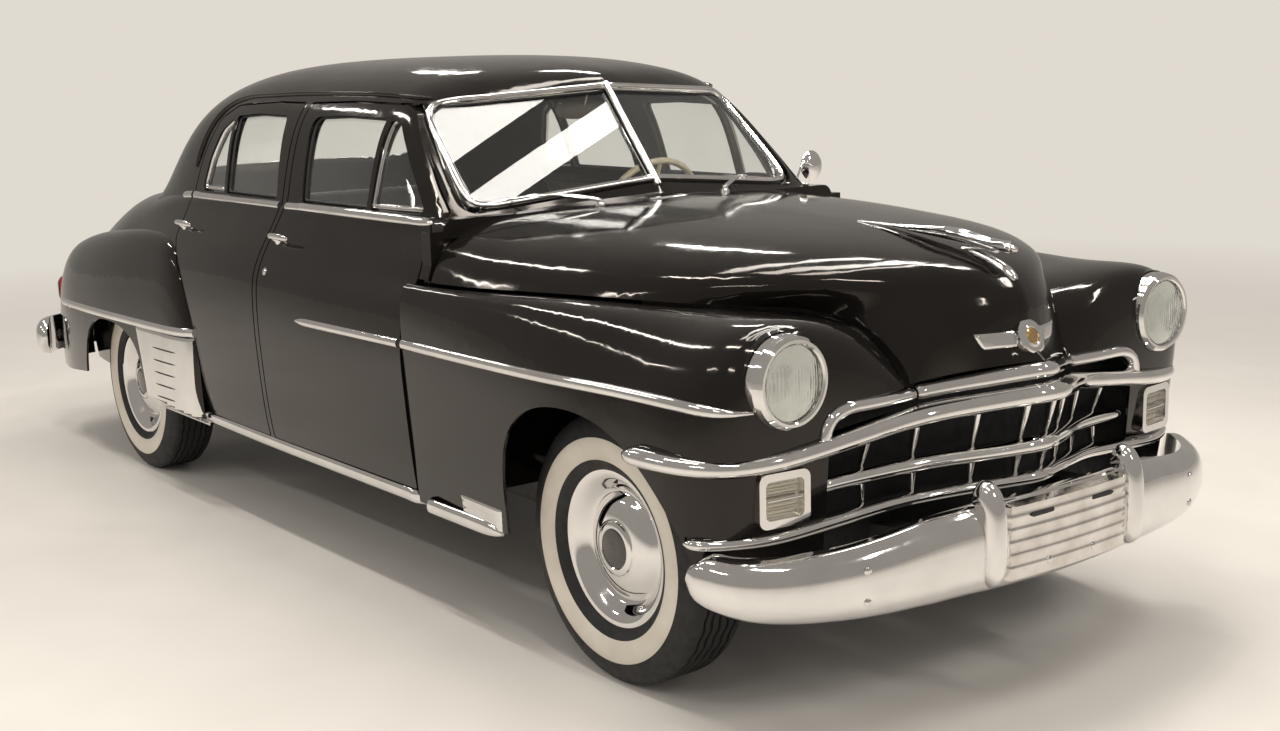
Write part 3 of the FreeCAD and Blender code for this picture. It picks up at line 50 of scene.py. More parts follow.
body_of = {n: b for b, names in frame["record"]["behaviour"]["bodies"].items() for n in names}


# Places taken from the frame: +X forward, +Y to the car's left, metres
def middle(node, axis):
    low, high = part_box(node)
    return (low[axis] + high[axis]) / 2


front_x = middle("tyre_front_left", 0)
rear_x = middle("tyre_rear_left", 0)
wheel_z = middle("tyre_front_left", 2)
front_y = middle("tyre_front_left", 1)
rear_y = middle("tyre_rear_left", 1)
# Planes clear of the whole car, where lines that look for its skin begin
left_of_all, ahead_of_all, above_all = 1.3, 3.2, 2.2
behind_all = front_x - 5.0


def at(s, y, z):
    """A point from its distance ahead of the front axle, in metres."""
    return Vector((front_x + s, y, z))


# Materials
def tree(name):
    mat = bpy.data.materials.new(name)
    mat.use_nodes = True
    return mat, mat.node_tree, mat.node_tree.nodes["Principled BSDF"]


def noise(nt, scale, detail=4.0):
    n = nt.nodes.new("ShaderNodeTexNoise")
    n.inputs["Scale"].default_value = scale
    n.inputs["Detail"].default_value = detail
    nt.links.new(nt.nodes.new("ShaderNodeTexCoord").outputs["Object"], n.inputs["Vector"])
    return n.outputs["Fac"]


def ramp(nt, source, low, high, a=0.3, b=0.7):
    """source spread from a..b to low..high."""
    m = nt.nodes.new("ShaderNodeMapRange")
    for key, value in (("From Min", a), ("From Max", b), ("To Min", low), ("To Max", high)):
        m.inputs[key].default_value = value
    nt.links.new(source, m.inputs["Value"])
    return m.outputs["Result"]


def mixed(nt, fac, a, b):
    m = nt.nodes.new("ShaderNodeMix")
    m.data_type = "RGBA"
    m.inputs["A"].default_value = (*a, 1)
    m.inputs["B"].default_value = (*b, 1)
    nt.links.new(fac, m.inputs["Factor"])
    return m.outputs["Result"]


def of_rays(nt, *kinds):
    """1 for rays of one or two kinds, such as Is Camera Ray, and 0 for others."""
    rays = nt.nodes.new("ShaderNodeLightPath")
    if len(kinds) == 1:
        return rays.outputs[kinds[0]]
    either = nt.nodes.new("ShaderNodeMath")
    either.operation = "MAXIMUM"
    for slot, kind in zip(either.inputs, kinds):
        nt.links.new(rays.outputs[kind], slot)
    return either.outputs[0]


def blended(nt, fac, a, b):
    """Shader a where fac is 0, shader b where it is 1."""
    mix = nt.nodes.new("ShaderNodeMixShader")
    for slot, source in zip(mix.inputs, (fac, a, b)):
        nt.links.new(source, slot)
    return mix.outputs[0]


def surface(name, light, dark, rough, metal=0.0, scale=6.0, grain=0.0, grain_scale=400.0, coat=0.0,
            specular=0.5, sheen=0.0, tint=(1, 1, 1)):
    """A material whose colour and roughness drift over the surface, with an optional fine grain."""
    mat, nt, bsdf = tree(name)
    nt.links.new(mixed(nt, ramp(nt, noise(nt, scale), 0, 1), dark, light), bsdf.inputs["Base Color"])
    nt.links.new(ramp(nt, noise(nt, scale * 3.7), *rough), bsdf.inputs["Roughness"])
    for key, value in (("Metallic", metal), ("Coat Weight", coat), ("Coat Roughness", 0.02),
                       ("Specular IOR Level", specular), ("Sheen Weight", sheen),
                       ("Specular Tint", (*tint, 1))):
        bsdf.inputs[key].default_value = value
    if grain:
        bump = nt.nodes.new("ShaderNodeBump")
        bump.inputs["Strength"].default_value = grain
        bump.inputs["Distance"].default_value = 0.0005
        nt.links.new(noise(nt, grain_scale, 2.0), bump.inputs["Height"])
        nt.links.new(bump.outputs["Normal"], bsdf.inputs["Normal"])
    return mat


def clear_glass(name, tint, rough=0.0):
    """Glass that bends light and lets lamp light through without a dark shadow."""
    mat, nt, bsdf = tree(name)
    dark = tuple(0.94 * c for c in tint)
    nt.links.new(mixed(nt, ramp(nt, noise(nt, 3.0), 0, 1), dark, tint), bsdf.inputs["Base Color"])
    nt.links.new(ramp(nt, noise(nt, 9.0), rough, rough + 0.012), bsdf.inputs["Roughness"])
    bsdf.inputs["Transmission Weight"].default_value = 1.0
    bsdf.inputs["IOR"].default_value = 1.45
    through = nt.nodes.new("ShaderNodeBsdfTransparent")
    through.inputs["Color"].default_value = (*tint, 1)
    shader = blended(nt, of_rays(nt, "Is Shadow Ray"), bsdf.outputs[0], through.outputs[0])
    nt.links.new(shader, nt.nodes["Material Output"].inputs["Surface"])
    return mat


paint = surface("black_paint", (0.0085, 0.0075, 0.0068), (0.005, 0.0045, 0.004), (0.06, 0.11), coat=0.16,
                specular=0.34, grain=0.012, grain_scale=60, tint=(1.0, 0.89, 0.8))
chrome = surface("bright_chrome", (0.83, 0.82, 0.81), (0.74, 0.73, 0.72), (0.03, 0.1), 1.0, 9.0,
                 grain=0.03, grain_scale=90)
old_chrome = surface("worn_chrome", (0.8, 0.78, 0.76), (0.6, 0.57, 0.54), (0.06, 0.2), 1.0, 14.0,
                     grain=0.06, grain_scale=160)
rubber = surface("tyre_black", (0.02, 0.019, 0.018), (0.011, 0.011, 0.011), (0.55, 0.75), scale=12,
                 grain=0.25, grain_scale=700)
whitewall = surface("whitewall", (0.72, 0.67, 0.59), (0.6, 0.55, 0.47), (0.35, 0.5), scale=7,
                    grain=0.1, grain_scale=500)
seal = surface("rubber_seal", (0.02, 0.02, 0.02), (0.012, 0.012, 0.012), (0.45, 0.65), scale=20,
               grain=0.15)
under_paint = surface("chassis_black", (0.03, 0.029, 0.027), (0.018, 0.016, 0.014), (0.45, 0.7), scale=8,
                      grain=0.3, grain_scale=250)
cast_iron = surface("cast_iron", (0.12, 0.115, 0.11), (0.07, 0.06, 0.05), (0.55, 0.8), 0.6, 10,
                    grain=0.5, grain_scale=220)
# The radiator's own black, also used below as painted shade on the sheets that close the nose
radiator_black_and_shade = surface("radiator_black_and_nose_shade", (0.01, 0.01, 0.01), (0.005, 0.005, 0.005), (0.6, 0.8), scale=12,
                   grain=0.3)
cloth = surface("seat_cloth", (0.045, 0.05, 0.07), (0.026, 0.029, 0.042), (0.8, 0.95), scale=9,
                grain=0.6, grain_scale=1300, sheen=0.3)
leather = surface("seat_leather", (0.055, 0.055, 0.062), (0.03, 0.03, 0.034), (0.32, 0.5), scale=14,
                  grain=0.35, grain_scale=350)
headlining = surface("headlining", (0.3, 0.27, 0.22), (0.24, 0.21, 0.17), (0.85, 0.95), scale=6,
                     grain=0.4, grain_scale=900)
dash_paint = surface("dash_brown", (0.1, 0.08, 0.06), (0.065, 0.05, 0.038), (0.25, 0.4), scale=5,
                     coat=0.5, grain=0.05)
ivory = surface("ivory_plastic", (0.66, 0.59, 0.42), (0.52, 0.45, 0.3), (0.22, 0.35), scale=16, coat=0.4)
carpet = surface("carpet", (0.045, 0.042, 0.045), (0.022, 0.021, 0.023), (0.9, 1.0), scale=30,
                 grain=1.0, grain_scale=900)
window = clear_glass("window_glass", (0.965, 0.98, 0.97))
lamp_glass = clear_glass("lamp_glass", (0.94, 0.95, 0.93), 0.02)
park_glass = clear_glass("parking_glass", (0.74, 0.72, 0.66), 0.12)
red_glass = surface("tail_red", (0.42, 0.012, 0.01), (0.28, 0.006, 0.006), (0.08, 0.16), scale=18,
                    coat=1.0, grain=0.1, grain_scale=120)
card_cloth = surface("door_card", (0.24, 0.205, 0.165), (0.17, 0.145, 0.115), (0.7, 0.9), scale=8, grain=0.4,
                     grain_scale=900, sheen=0.2)
brass = surface("emblem_brass", (0.62, 0.42, 0.2), (0.5, 0.33, 0.15), (0.15, 0.3), 0.9, 30, grain=0.1)
silver = surface("reflector_silver", (0.88, 0.88, 0.86), (0.74, 0.74, 0.72), (0.1, 0.22), 1.0, 10.0)

# The material slot that goes with each material, unless a piece names another
usual_slot = {
    chrome: "trim_chrome", old_chrome: "trim_chrome", brass: "trim_chrome", silver: "trim_chrome",
    paint: "paint", cloth: "seat_cloth", leather: "seat_cloth", card_cloth: "seat_cloth",
    window: "window_glass", lamp_glass: "lamp_glass", radiator_black_and_shade: "dark_panel",
}


# Making pieces
def put(name, mesh, body, mats, slot_name="usual"):
    obj = bpy.data.objects.new(name, mesh)
    bpy.context.scene.collection.objects.link(obj)
    mats = mats if isinstance(mats, list) else [mats]
    mesh.materials.clear()
    for m in mats:
        mesh.materials.append(m)
    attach(obj, body)
    if slot_name == "usual":
        slot_name = usual_slot.get(mats[0])
    return obj


def finished(mesh, sharp, mend):
    """The mesh mended by mend(bm) and smooth but for edges over sharp degrees."""
    bm = bmesh.new()
    bm.from_mesh(mesh)
    mend(bm)
    bm.to_mesh(mesh)
    bm.free()
    bm = bmesh.new()
    bm.from_mesh(mesh)
    for e in bm.edges:
        e.smooth = len(e.link_faces) == 2 and e.calc_face_angle(0) <= math.radians(sharp)
    for f in bm.faces:
        f.smooth = True
    bm.to_mesh(mesh)
    bm.free()


def piece(name, verts, faces, body="car_body", mats=chrome, slot_name="usual", sharp=35, face_mats=None):
    mesh = bpy.data.meshes.new(name)
    mesh.from_pydata([tuple(v) for v in verts], [], faces)
    mesh.validate()
    finished(mesh, sharp, lambda bm: bmesh.ops.recalc_face_normals(bm, faces=bm.faces))
    obj = put(name, mesh, body, mats, slot_name)
    if face_mats:
        mesh.polygons.foreach_set("material_index", face_mats)
    return obj


def grid_faces(rows, cols, wrap_rows=False, wrap_cols=False):
    faces = []
    for i in range(rows if wrap_rows else rows - 1):
        for j in range(cols if wrap_cols else cols - 1):
            a, b = i * cols + j, i * cols + (j + 1) % cols
            c, d = (i + 1) % rows * cols + (j + 1) % cols, (i + 1) % rows * cols + j
            faces.append((a, b, c, d))
    return faces


def tube_faces(stations, around):
    """Faces round a row of closed rings, with both ends shut."""
    ends = [tuple(range(around)), tuple(range((stations - 1) * around, stations * around))]
    return grid_faces(stations, around, wrap_cols=True) + ends


def weld(bm):
    bmesh.ops.remove_doubles(bm, verts=bm.verts, dist=3e-5)
    bmesh.ops.dissolve_degenerate(bm, edges=bm.edges, dist=1e-5)


def skin_copy(node):
    """A painted CAD panel shown with smooth shading: its points welded, its edges kept sharp."""
    mesh = nodes[node].data.copy()
    finished(mesh, 30, weld)
    obj = put(node + "_skin", mesh, body_of[node], paint)
    mod = obj.modifiers.new("normals", "WEIGHTED_NORMAL")
    mod.mode = "FACE_AREA_WITH_ANGLE"
    mod.keep_sharp = True
    mod.weight = 60
    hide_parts(node)


def smooth_line(points, count):
    """count points on a smooth curve through points, evenly spaced along it."""
    pts = np.array([tuple(p) for p in points], float)
    gaps = np.linalg.norm(np.diff(pts, axis=0), axis=1)
    t = np.concatenate([[0], np.cumsum(gaps)])
    n = len(t)
    m = np.zeros((n, n))
    rhs = np.zeros((n, pts.shape[1]))
    m[0, 0] = m[-1, -1] = 1
    for i in range(1, n - 1):
        h0, h1 = t[i] - t[i - 1], t[i + 1] - t[i]
        m[i, i - 1:i + 2] = h0, 2 * (h0 + h1), h1
        rhs[i] = 6 * ((pts[i + 1] - pts[i]) / h1 - (pts[i] - pts[i - 1]) / h0)
    curve = np.linalg.solve(m, rhs)
    fine = np.linspace(0, t[-1], 400)
    out = np.empty((400, pts.shape[1]))
    for k, q in enumerate(fine):
        i = min(max(np.searchsorted(t, q) - 1, 0), n - 2)
        h = t[i + 1] - t[i]
        a, b = (t[i + 1] - q) / h, (q - t[i]) / h
        out[k] = (a * pts[i] + b * pts[i + 1]
                  + ((a ** 3 - a) * curve[i] + (b ** 3 - b) * curve[i + 1]) * h * h / 6)
    along = np.concatenate([[0], np.cumsum(np.linalg.norm(np.diff(out, axis=0), axis=1))])
    even = np.linspace(0, along[-1], count)
    return [Vector([np.interp(e, along, out[:, c]) for c in range(out.shape[1])]) for e in even]


def sweep(name, path, profile, body="car_body", mat=chrome, up=(0, 0, 1), scale=None, slot_name="usual",
          sharp=35, tall=None):
    """A closed profile of (outward, upward) points carried along a path."""
    verts = []
    n = len(path)
    for i, p in enumerate(path):
        t = (path[min(i + 1, n - 1)] - path[max(i - 1, 0)]).normalized()
        side = t.cross(Vector(up)).normalized()
        vert = side.cross(t).normalized()
        f = scale[i] if scale else 1.0
        h = f * tall[i] if tall else f
        verts += [p + side * a * f + vert * b * h for a, b in profile]
    return piece(name, verts, tube_faces(n, len(profile)), body, mat, slot_name, sharp)


def power_point(t, a, b, power):
    """A point of a rounded square: an oval at power 2, squarer above it."""
    c, s = math.cos(t), math.sin(t)
    return math.copysign(abs(c) ** (2 / power), c) * a, math.copysign(abs(s) ** (2 / power), s) * b


def oval(a, b, count=20, power=2.2):
    return [power_point(2 * math.pi * i / count, a, b, power) for i in range(count)]


def half_oval(a, b, count=12, power=2.2):
    """A rounded front on a flat back: reach a, height b each way."""
    pts = [power_point(math.pi * i / count, b, 2 * a, power) for i in range(count + 1)]
    return [(abs(q) - a, p) for p, q in pts]


def crown(half, proud, sink=0.001, k=9, power=2.0):
    """A closed section: rounded top over a flat foot, as (across, proud)."""
    pts = [(half * math.cos(math.pi * j / (k - 1)), proud * math.sin(math.pi * j / (k - 1)) ** (2 / power))
           for j in range(k)]
    return [(half, -sink)] + pts + [(-half, -sink)]


def round_off(f):
    """The share of full size at f, 0 to 1, of the way into a rounded end."""
    return math.sqrt(max(0.0, 1 - (1 - min(1.0, f)) ** 2))


def tapered(n, ends=4, low=0.15):
    """Scales for n stations that round off both ends."""
    return [max(low, round_off(min(i, n - 1 - i) / ends)) for i in range(n)]


def turned(name, centre, axis, profile, body="car_body", mats=chrome, steps=72, slot_name="usual",
           sharp=30):
    """A shape turned about an axis through (radius, along) points."""
    axis = Vector(axis).normalized()
    ref = Vector((0, 0, 1)) if abs(axis.z) < 0.9 else Vector((1, 0, 0))
    u = axis.cross(ref).normalized()
    w = axis.cross(u)
    verts = []
    for i in range(steps):
        t = 2 * math.pi * i / steps
        d = u * math.cos(t) + w * math.sin(t)
        verts += [Vector(centre) + d * r + axis * a for r, a in profile]
    faces = grid_faces(steps, len(profile), wrap_rows=True, wrap_cols=True)
    return piece(name, verts, faces, body, mats, slot_name, sharp)


# Where trim meets the skins
def tree_of(*names):
    verts, polys, base = [], [], 0
    for n in names:
        mesh = nodes[n].data
        verts += [v.co.copy() for v in mesh.vertices]
        polys += [tuple(base + i for i in p.vertices) for p in mesh.polygons]
        base += len(mesh.vertices)
    return BVHTree.FromPolygons(verts, polys)


left_doors = tree_of("door_front_left", "door_rear_left", "body_shell")
left_side = tree_of("front_fender_left", "door_front_left", "door_rear_left", "rear_fender_left",
                    "body_shell")
shell, hood_skin = tree_of("body_shell"), tree_of("hood")
wind_glass, side_glass = tree_of("windshield_glass"), tree_of("glass_front_left", "glass_rear_left")


def cast(skin, origin, direction):
    """Where a line from origin meets the skin, with the normal on origin's side, or None."""
    point, n = skin.ray_cast(Vector(origin), Vector(direction))[:2]
    if point is None:
        return None
    return point, n if n.dot(Vector(direction)) < 0 else -n


def from_left(x, z, skin=left_side):
    """The point and outward normal where a line along Y from the left meets the skin."""
    return cast(skin, (x, left_of_all, z), (0, -1, 0)) or (Vector((x, 0.9, z)), Vector((0, 1, 0)))


def from_above(x, y, skin):
    return cast(skin, (x, y, above_all), (0, 0, -1)) or (Vector((x, y, 1.2)), Vector((0, 0, 1)))


def from_front(y, z, skin):
    return cast(skin, (ahead_of_all, y, z), (-1, 0, 0)) or (Vector((2.4, y, z)), Vector((1, 0, 0)))


sides = (("left", 1), ("right", -1))


def mirror_of(verts):
    return [Vector((v.x, -v.y, v.z)) for v in verts]


def other(body):
    return body.replace("left", "right")


def both_sides(name, verts, faces, body="car_body", mat=chrome, slot_name="usual", sharp=35):
    """The left piece and its mirror image, each on its own side's body."""
    piece(name + "_left", verts, faces, body, mat, slot_name, sharp)
    piece(name + "_right", mirror_of(verts), faces, other(body), mat, slot_name, sharp)


def moulding(name, ends, half, proud, body="car_body", mat=chrome, count=30, skin=left_side, taper=4,
             low=0.25, slot_name="usual", round_ends=(True, True)):
    """A strip on the left skin, and its mirror. ends: (s, z) points in metres that it passes through."""
    line = smooth_line([(front_x + s, z) for s, z in ends], count)
    feet = [from_left(p.x, p.y, skin) for p in line]
    sink, lap, k = 0.0015, 0.0002, 9
    verts = []
    for i, (p, n) in enumerate(feet):
        t = (feet[min(i + 1, count - 1)][0] - feet[max(i - 1, 0)][0]).normalized()
        side = t.cross(n).normalized()
        f = 1.0
        if round_ends[0]:
            f = min(f, max(low, round_off(i / taper)))
        if round_ends[1]:
            f = min(f, max(low, round_off((count - 1 - i) / taper)))
        verts.append(p + side * half * f - n * sink)
        for j in range(k):
            q = math.pi * j / (k - 1)
            rise = math.sin(q) * proud * (0.35 + 0.65 * f)
            verts.append(p + side * half * f * math.cos(q) + n * (rise - lap))
        verts.append(p - side * half * f - n * sink)
    both_sides(name, verts, tube_faces(count, k + 2), body, mat, slot_name, 40)


def sheet(rows, cols, foot, lift, rim_lift):
    """Points lifted off a skin, the rim less: foot(u, v) gives its (point, normal) for u, v 0..1."""
    verts = []
    for i in range(rows):
        row = [foot(i / (rows - 1), j / (cols - 1)) for j in range(cols)]
        last = next((f for f in row if f), None)
        for j, hit in enumerate(row):
            last = hit or last
            rim = i in (0, rows - 1) or j in (0, cols - 1)
            rise = rim_lift if rim else lift(i / (rows - 1), j / (cols - 1))
            verts.append(last[0] + last[1] * rise)
    return verts, grid_faces(rows, cols)


# Painted panels
painted = ["body_shell", "front_fender_left", "front_fender_right", "rear_fender_left", "rear_fender_right",
           "hood", "trunk_lid", "door_front_left", "door_front_right", "door_rear_left", "door_rear_right"]
for n in painted:
    skin_copy(n)

# Nodes that are shown as they are, or stood for by pieces below
wheel_names = ("front_left", "front_right", "rear_left", "rear_right")
looks = {
    under_paint: "chassis_frame propshaft rear_axle rear_springs front_suspension fuel_tank "
                 "steering_column",
    cast_iron: "engine_block exhaust_pipe knuckle_left knuckle_right",
    window: "glass_front_left glass_front_right glass_rear_left glass_rear_right windshield_glass "
            "rear_window",
    chrome: "headlamp_rims parking_lamp_rims grille grille_arch front_bumper rear_bumper "
            + " ".join("wheel_" + w for w in wheel_names),
    rubber: " ".join("tyre_" + w for w in wheel_names),
    cloth: "front_seat rear_seat", radiator_black_and_shade: "radiator_panel", dash_paint: "dashboard",
    ivory: "steering_wheel", red_glass: "tail_lamps", lamp_glass: "headlamp_lenses",
    silver: "headlamp_bowls", park_glass: "parking_lamp_lenses",
}
for mat, names in looks.items():
    for n in names.split():
        for s in nodes[n].material_slots:
            s.material = mat

# Side trim
moulding("belt_front", [(-0.868, 1.16), (-1.3, 1.162), (-1.795, 1.162)], 0.015, 0.01, "door_front_left",
    skin=left_doors, round_ends=(True, False), count=44)
moulding("belt_rear", [(-1.848, 1.162), (-2.2, 1.161), (-2.598, 1.158)], 0.015, 0.01, "door_rear_left",
    skin=left_doors, round_ends=(False, False), count=36)
moulding("belt_tail", [(-2.616, 1.157), (-2.66, 1.155), (-2.72, 1.15)], 0.015, 0.01, skin=left_doors,
    round_ends=(False, True), count=16)
moulding("door_strip", [(-1.52, 0.814), (-1.2, 0.816), (-0.868, 0.818)], 0.0135, 0.009, "door_front_left",
    skin=left_doors, round_ends=(True, False), count=34)
moulding("fender_strip", [(-0.845, 0.818), (-0.5, 0.82), (-0.1, 0.824), (0.25, 0.829), (0.46, 0.826),
    (0.575, 0.82)], 0.015, 0.01, round_ends=(False, True), count=72, taper=6)
moulding("sill_strip", [(-2.44, 0.35), (-1.8, 0.348), (-1.0, 0.346), (-0.36, 0.346)], 0.0225, 0.012,
    skin=shell, count=70)
moulding("rear_strip", [(-2.385, 0.668), (-2.7, 0.664), (-3.2, 0.656), (-3.6, 0.645), (-3.95, 0.63)],
    0.0165, 0.01, round_ends=(False, True), count=60)


def patch(name, outline, proud, rows, cols, ridge=lambda u, v: 0):
    """A raised sheet on the left skin and its mirror. outline(u) gives (z, s_front, s_back) for u 0..1."""
    def foot(u, v):
        z, s_front, s_back = outline(u)
        return from_left(front_x + s_front + (s_back - s_front) * v, z)

    verts, faces = sheet(rows, cols, foot, lambda u, v: proud + ridge(u, v), -0.001)
    both_sides(name, verts, faces, sharp=60)


def rear_shield(v):
    """The bright stone shield ahead of the rear wheel."""
    z = 0.648 - 0.326 * v
    front = -2.392 - 0.006 * v + 0.16 * max(0.0, v - 0.55) ** 1.6
    arch = [(-2.872, 0.0), (-2.835, 0.35), (-2.808, 0.7), (-2.795, 1.0)]
    back = float(np.interp(v, [a[1] for a in arch], [a[0] for a in arch]))
    return z, front, back


patch("rear_shield", rear_shield, 0.0035, 44, 22)
# The dark rubber strips laid on the shield are painted shade standing for its slots
for i in range(6):
    z = 0.585 - 0.047 * i
    moulding("shield_slot_shade_%d" % i, [(-2.475 - 0.01 * i, z), (-2.6, z), (-2.715 + 0.004 * i, z)], 0.0048,
        0.005, mat=seal, slot_name="trim_chrome", count=14, low=0.4)


def stone_plate(v):
    """The ribbed bright plate behind the front wheel."""
    z = 0.415 - 0.072 * v
    return z, -0.352 - 0.006 * v, -0.585 + 0.01 * v


patch("stone_plate", stone_plate, 0.003, 26, 14,
    ridge=lambda u, v: 0.0022 * (0.5 - 0.5 * math.cos(2 * math.pi * 4 * u)))

# Door handles and locks
def handle(name, s_pivot, z, reach, body):
    """A pull handle on the left door, its round foot and its grip, and the mirror of both."""
    base, n = from_left(front_x + s_pivot, z, left_doors)
    stem = [base + n * out for out in (-0.002, 0.004, 0.012, 0.032)]
    grip, sizes = [], []
    for i in range(17):
        f = i / 16
        grip.append(base + n * (0.03 + 0.01 * math.sin(math.pi * f)) + Vector((reach * f - 0.028, 0, 0)))
        sizes.append(max(0.3, round_off(min(i / 3, (16 - i) / 5))))
    shapes = [(stem, [1.5, 1.35, 0.85, 0.8], oval(0.011, 0.011, 16, 2), (1, 0, 0)),
        (grip, sizes, oval(0.0065, 0.0105, 16), (0, 0, 1))]
    for k, (path, scale, profile, up) in enumerate(shapes):
        left = sweep(name + "_%d_left" % k, path, profile, body, up=up, scale=scale).data
        piece(name + "_%d_right" % k, mirror_of([v.co for v in left.vertices]),
            [tuple(p.vertices) for p in left.polygons], other(body))


def lock_face(name, s, z, radius, proud, body):
    """A round lock face on the left door, and its mirror."""
    p, n = from_left(front_x + s, z, left_doors)
    prof = [(0, proud), (radius * 0.55, proud), (radius * 0.62, proud * 0.6), (radius * 0.8, proud * 0.55),
        (radius, proud * 0.2), (radius, -0.001), (0, -0.001)]
    turned(name + "_left", p, n, prof, body, steps=28)
    turned(name + "_right", *mirror_of([p, n]), prof, other(body), steps=28)


handle("handle_front", -1.745, 1.052, 0.15, "door_front_left")
handle("handle_rear", -2.56, 1.046, 0.15, "door_rear_left")
lock_face("lock_front", -1.76, 0.952, 0.013, 0.005, "door_front_left")

# Grille bars, arch and bumpers, smooth over the plain solids: (s, y, z) points of the left half
arch_pts = [(0.766, 0, 0.836), (0.744, 0.055, 0.831), (0.69, 0.145, 0.818), (0.63, 0.23, 0.803),
    (0.6, 0.299, 0.794), (0.6, 0.384, 0.793), (0.599, 0.478, 0.793), (0.598, 0.545, 0.788),
    (0.596, 0.584, 0.765), (0.594, 0.597, 0.733), (0.592, 0.599, 0.712)]
top_pts = [(0.79, 0, 0.784), (0.764, 0.07, 0.778), (0.712, 0.165, 0.766), (0.662, 0.26, 0.753),
    (0.634, 0.34, 0.742), (0.618, 0.44, 0.729), (0.606, 0.54, 0.716), (0.594, 0.64, 0.703),
    (0.574, 0.75, 0.692), (0.522, 0.852, 0.686), (0.44, 0.912, 0.688), (0.33, 0.94, 0.692),
    (0.262, 0.946, 0.694)]
mid_pts = [(0.76, 0, 0.648), (0.74, 0.06, 0.643), (0.69, 0.165, 0.634), (0.64, 0.27, 0.626),
    (0.604, 0.37, 0.618), (0.576, 0.48, 0.61), (0.552, 0.59, 0.602)]
low_pts = [(0.744, 0, 0.561), (0.726, 0.065, 0.558), (0.684, 0.17, 0.551), (0.64, 0.275, 0.542),
    (0.608, 0.38, 0.533), (0.59, 0.5, 0.522), (0.578, 0.62, 0.513), (0.56, 0.73, 0.505),
    (0.52, 0.83, 0.502), (0.476, 0.888, 0.502), (0.44, 0.908, 0.502)]
blade_pts = [(0.82, 0, 0.437), (0.814, 0.18, 0.437), (0.792, 0.38, 0.434), (0.752, 0.57, 0.417),
    (0.69, 0.74, 0.409), (0.612, 0.85, 0.41), (0.535, 0.905, 0.424), (0.478, 0.925, 0.44)]
blade_heights = [(0, 0.226), (0.27, 0.222), (0.42, 0.214), (0.52, 0.197), (0.64, 0.18), (0.75, 0.166),
    (0.85, 0.152), (0.905, 0.134), (0.93, 0.112)]
tail_pts = [(-4.396, 0, 0.444), (-4.394, 0.2, 0.444), (-4.384, 0.42, 0.444), (-4.358, 0.62, 0.444),
    (-4.308, 0.78, 0.444), (-4.226, 0.89, 0.444), (-4.11, 0.932, 0.444)]


def whole(points, count):
    """A line right across the car through the points of its left half."""
    return smooth_line([at(s, -y, z) for s, y, z in points[:0:-1]] + [at(*p) for p in points], count)


def bright_bar(name, points, depth, height, count, power=2.3, up=(0, 0, 1), low=0.25, tall=None):
    """A bar right across the car, rounded at its ends. tall: (distance from the middle, height) points."""
    path = whole(points, count)
    step = (path[1] - path[0]).length
    if tall:
        tall = [float(np.interp(abs(p.y), *zip(*tall))) / height for p in path]
    return sweep(name, path, half_oval(depth / 2, height / 2, 18, power), up=up, sharp=50, tall=tall,
        scale=tapered(count, max(3, int(depth * 0.9 / step)), low))


top_bar = bright_bar("grille_top_bar", top_pts, 0.046, 0.052, 150)
bright_bar("grille_middle_bar", mid_pts, 0.038, 0.043, 110)
bright_bar("grille_low_bar", low_pts, 0.038, 0.036, 140)
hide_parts("grille")
arch_path = whole(arch_pts, 210)
arch_parts = (("middle", [q for q in arch_path if abs(q.y) <= 0.297], 0.017, 0.0215),
    ("left", [q for q in arch_path if q.y >= 0.3], 0.0155, 0.0185),
    ("right", [q for q in arch_path if q.y <= -0.3], 0.0155, 0.0185))
for side, line, deep, tall_half in arch_parts:
    last = sweep("grille_arch_" + side, line, half_oval(deep, tall_half, 18, 2.3),
        scale=tapered(len(line), 2, 0.82), sharp=50)
    if side == "middle":
        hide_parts("grille_arch")


def on_path(path, y):
    for p, q in zip(path, path[1:]):
        if p.y <= y <= q.y:
            return p + (q - p) * ((y - p.y) / (q.y - p.y))
    return path[-1]


top_path, mid_path, low_path = whole(top_pts, 150), whole(mid_pts, 110), whole(low_pts, 140)
for i, y in enumerate((-0.45, -0.31, -0.165, -0.05, 0.05, 0.165, 0.31, 0.45)):
    a, b, c = on_path(top_path, y), on_path(mid_path, y), on_path(low_path, y)
    shift = Vector((-0.026, 0, 0))
    for part, p, q in (("upper", a, b), ("lower", b, c)):
        line = [p + shift + (q - p) * (f / 9 * 0.86) for f in range(10)]
        sweep("grille_tooth_%s_%d" % (part, i), line, oval(0.015, 0.0078, 16, 2.6), up=(0, 1, 0),
            scale=[1.0 - 0.62 * (f / 9) ** 1.6 for f in range(10)])

blade = bright_bar("front_blade", blade_pts, 0.062, 0.2, 170, 2.5, low=0.42, tall=blade_heights)
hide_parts("front_bumper")
tail_blade = bright_bar("rear_blade", tail_pts, 0.062, 0.16, 130, 2.6, up=(0, 0, -1), low=0.42)
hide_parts("rear_bumper")


def guard(name, points, depth, width, up):
    path = smooth_line([at(*p) for p in points], 30)
    sweep(name, path, half_oval(depth / 2, width / 2, 18, 2.5), up=up, scale=tapered(30, 4, 0.35), sharp=50)


for k, y in (("right", -0.268), ("left", 0.268)):
    guard("front_guard_" + k, [(0.824, y, 0.35), (0.833, y, 0.4), (0.834, y, 0.5), (0.822, y, 0.56),
        (0.788, y, 0.601)], 0.056, 0.066, (0, -1, 0))
for k, y in (("right", -0.3), ("left", 0.3)):
    guard("rear_guard_" + k, [(-4.404, y, 0.355), (-4.404, y, 0.44), (-4.404, y, 0.57)], 0.048, 0.058,
        (0, 1, 0))

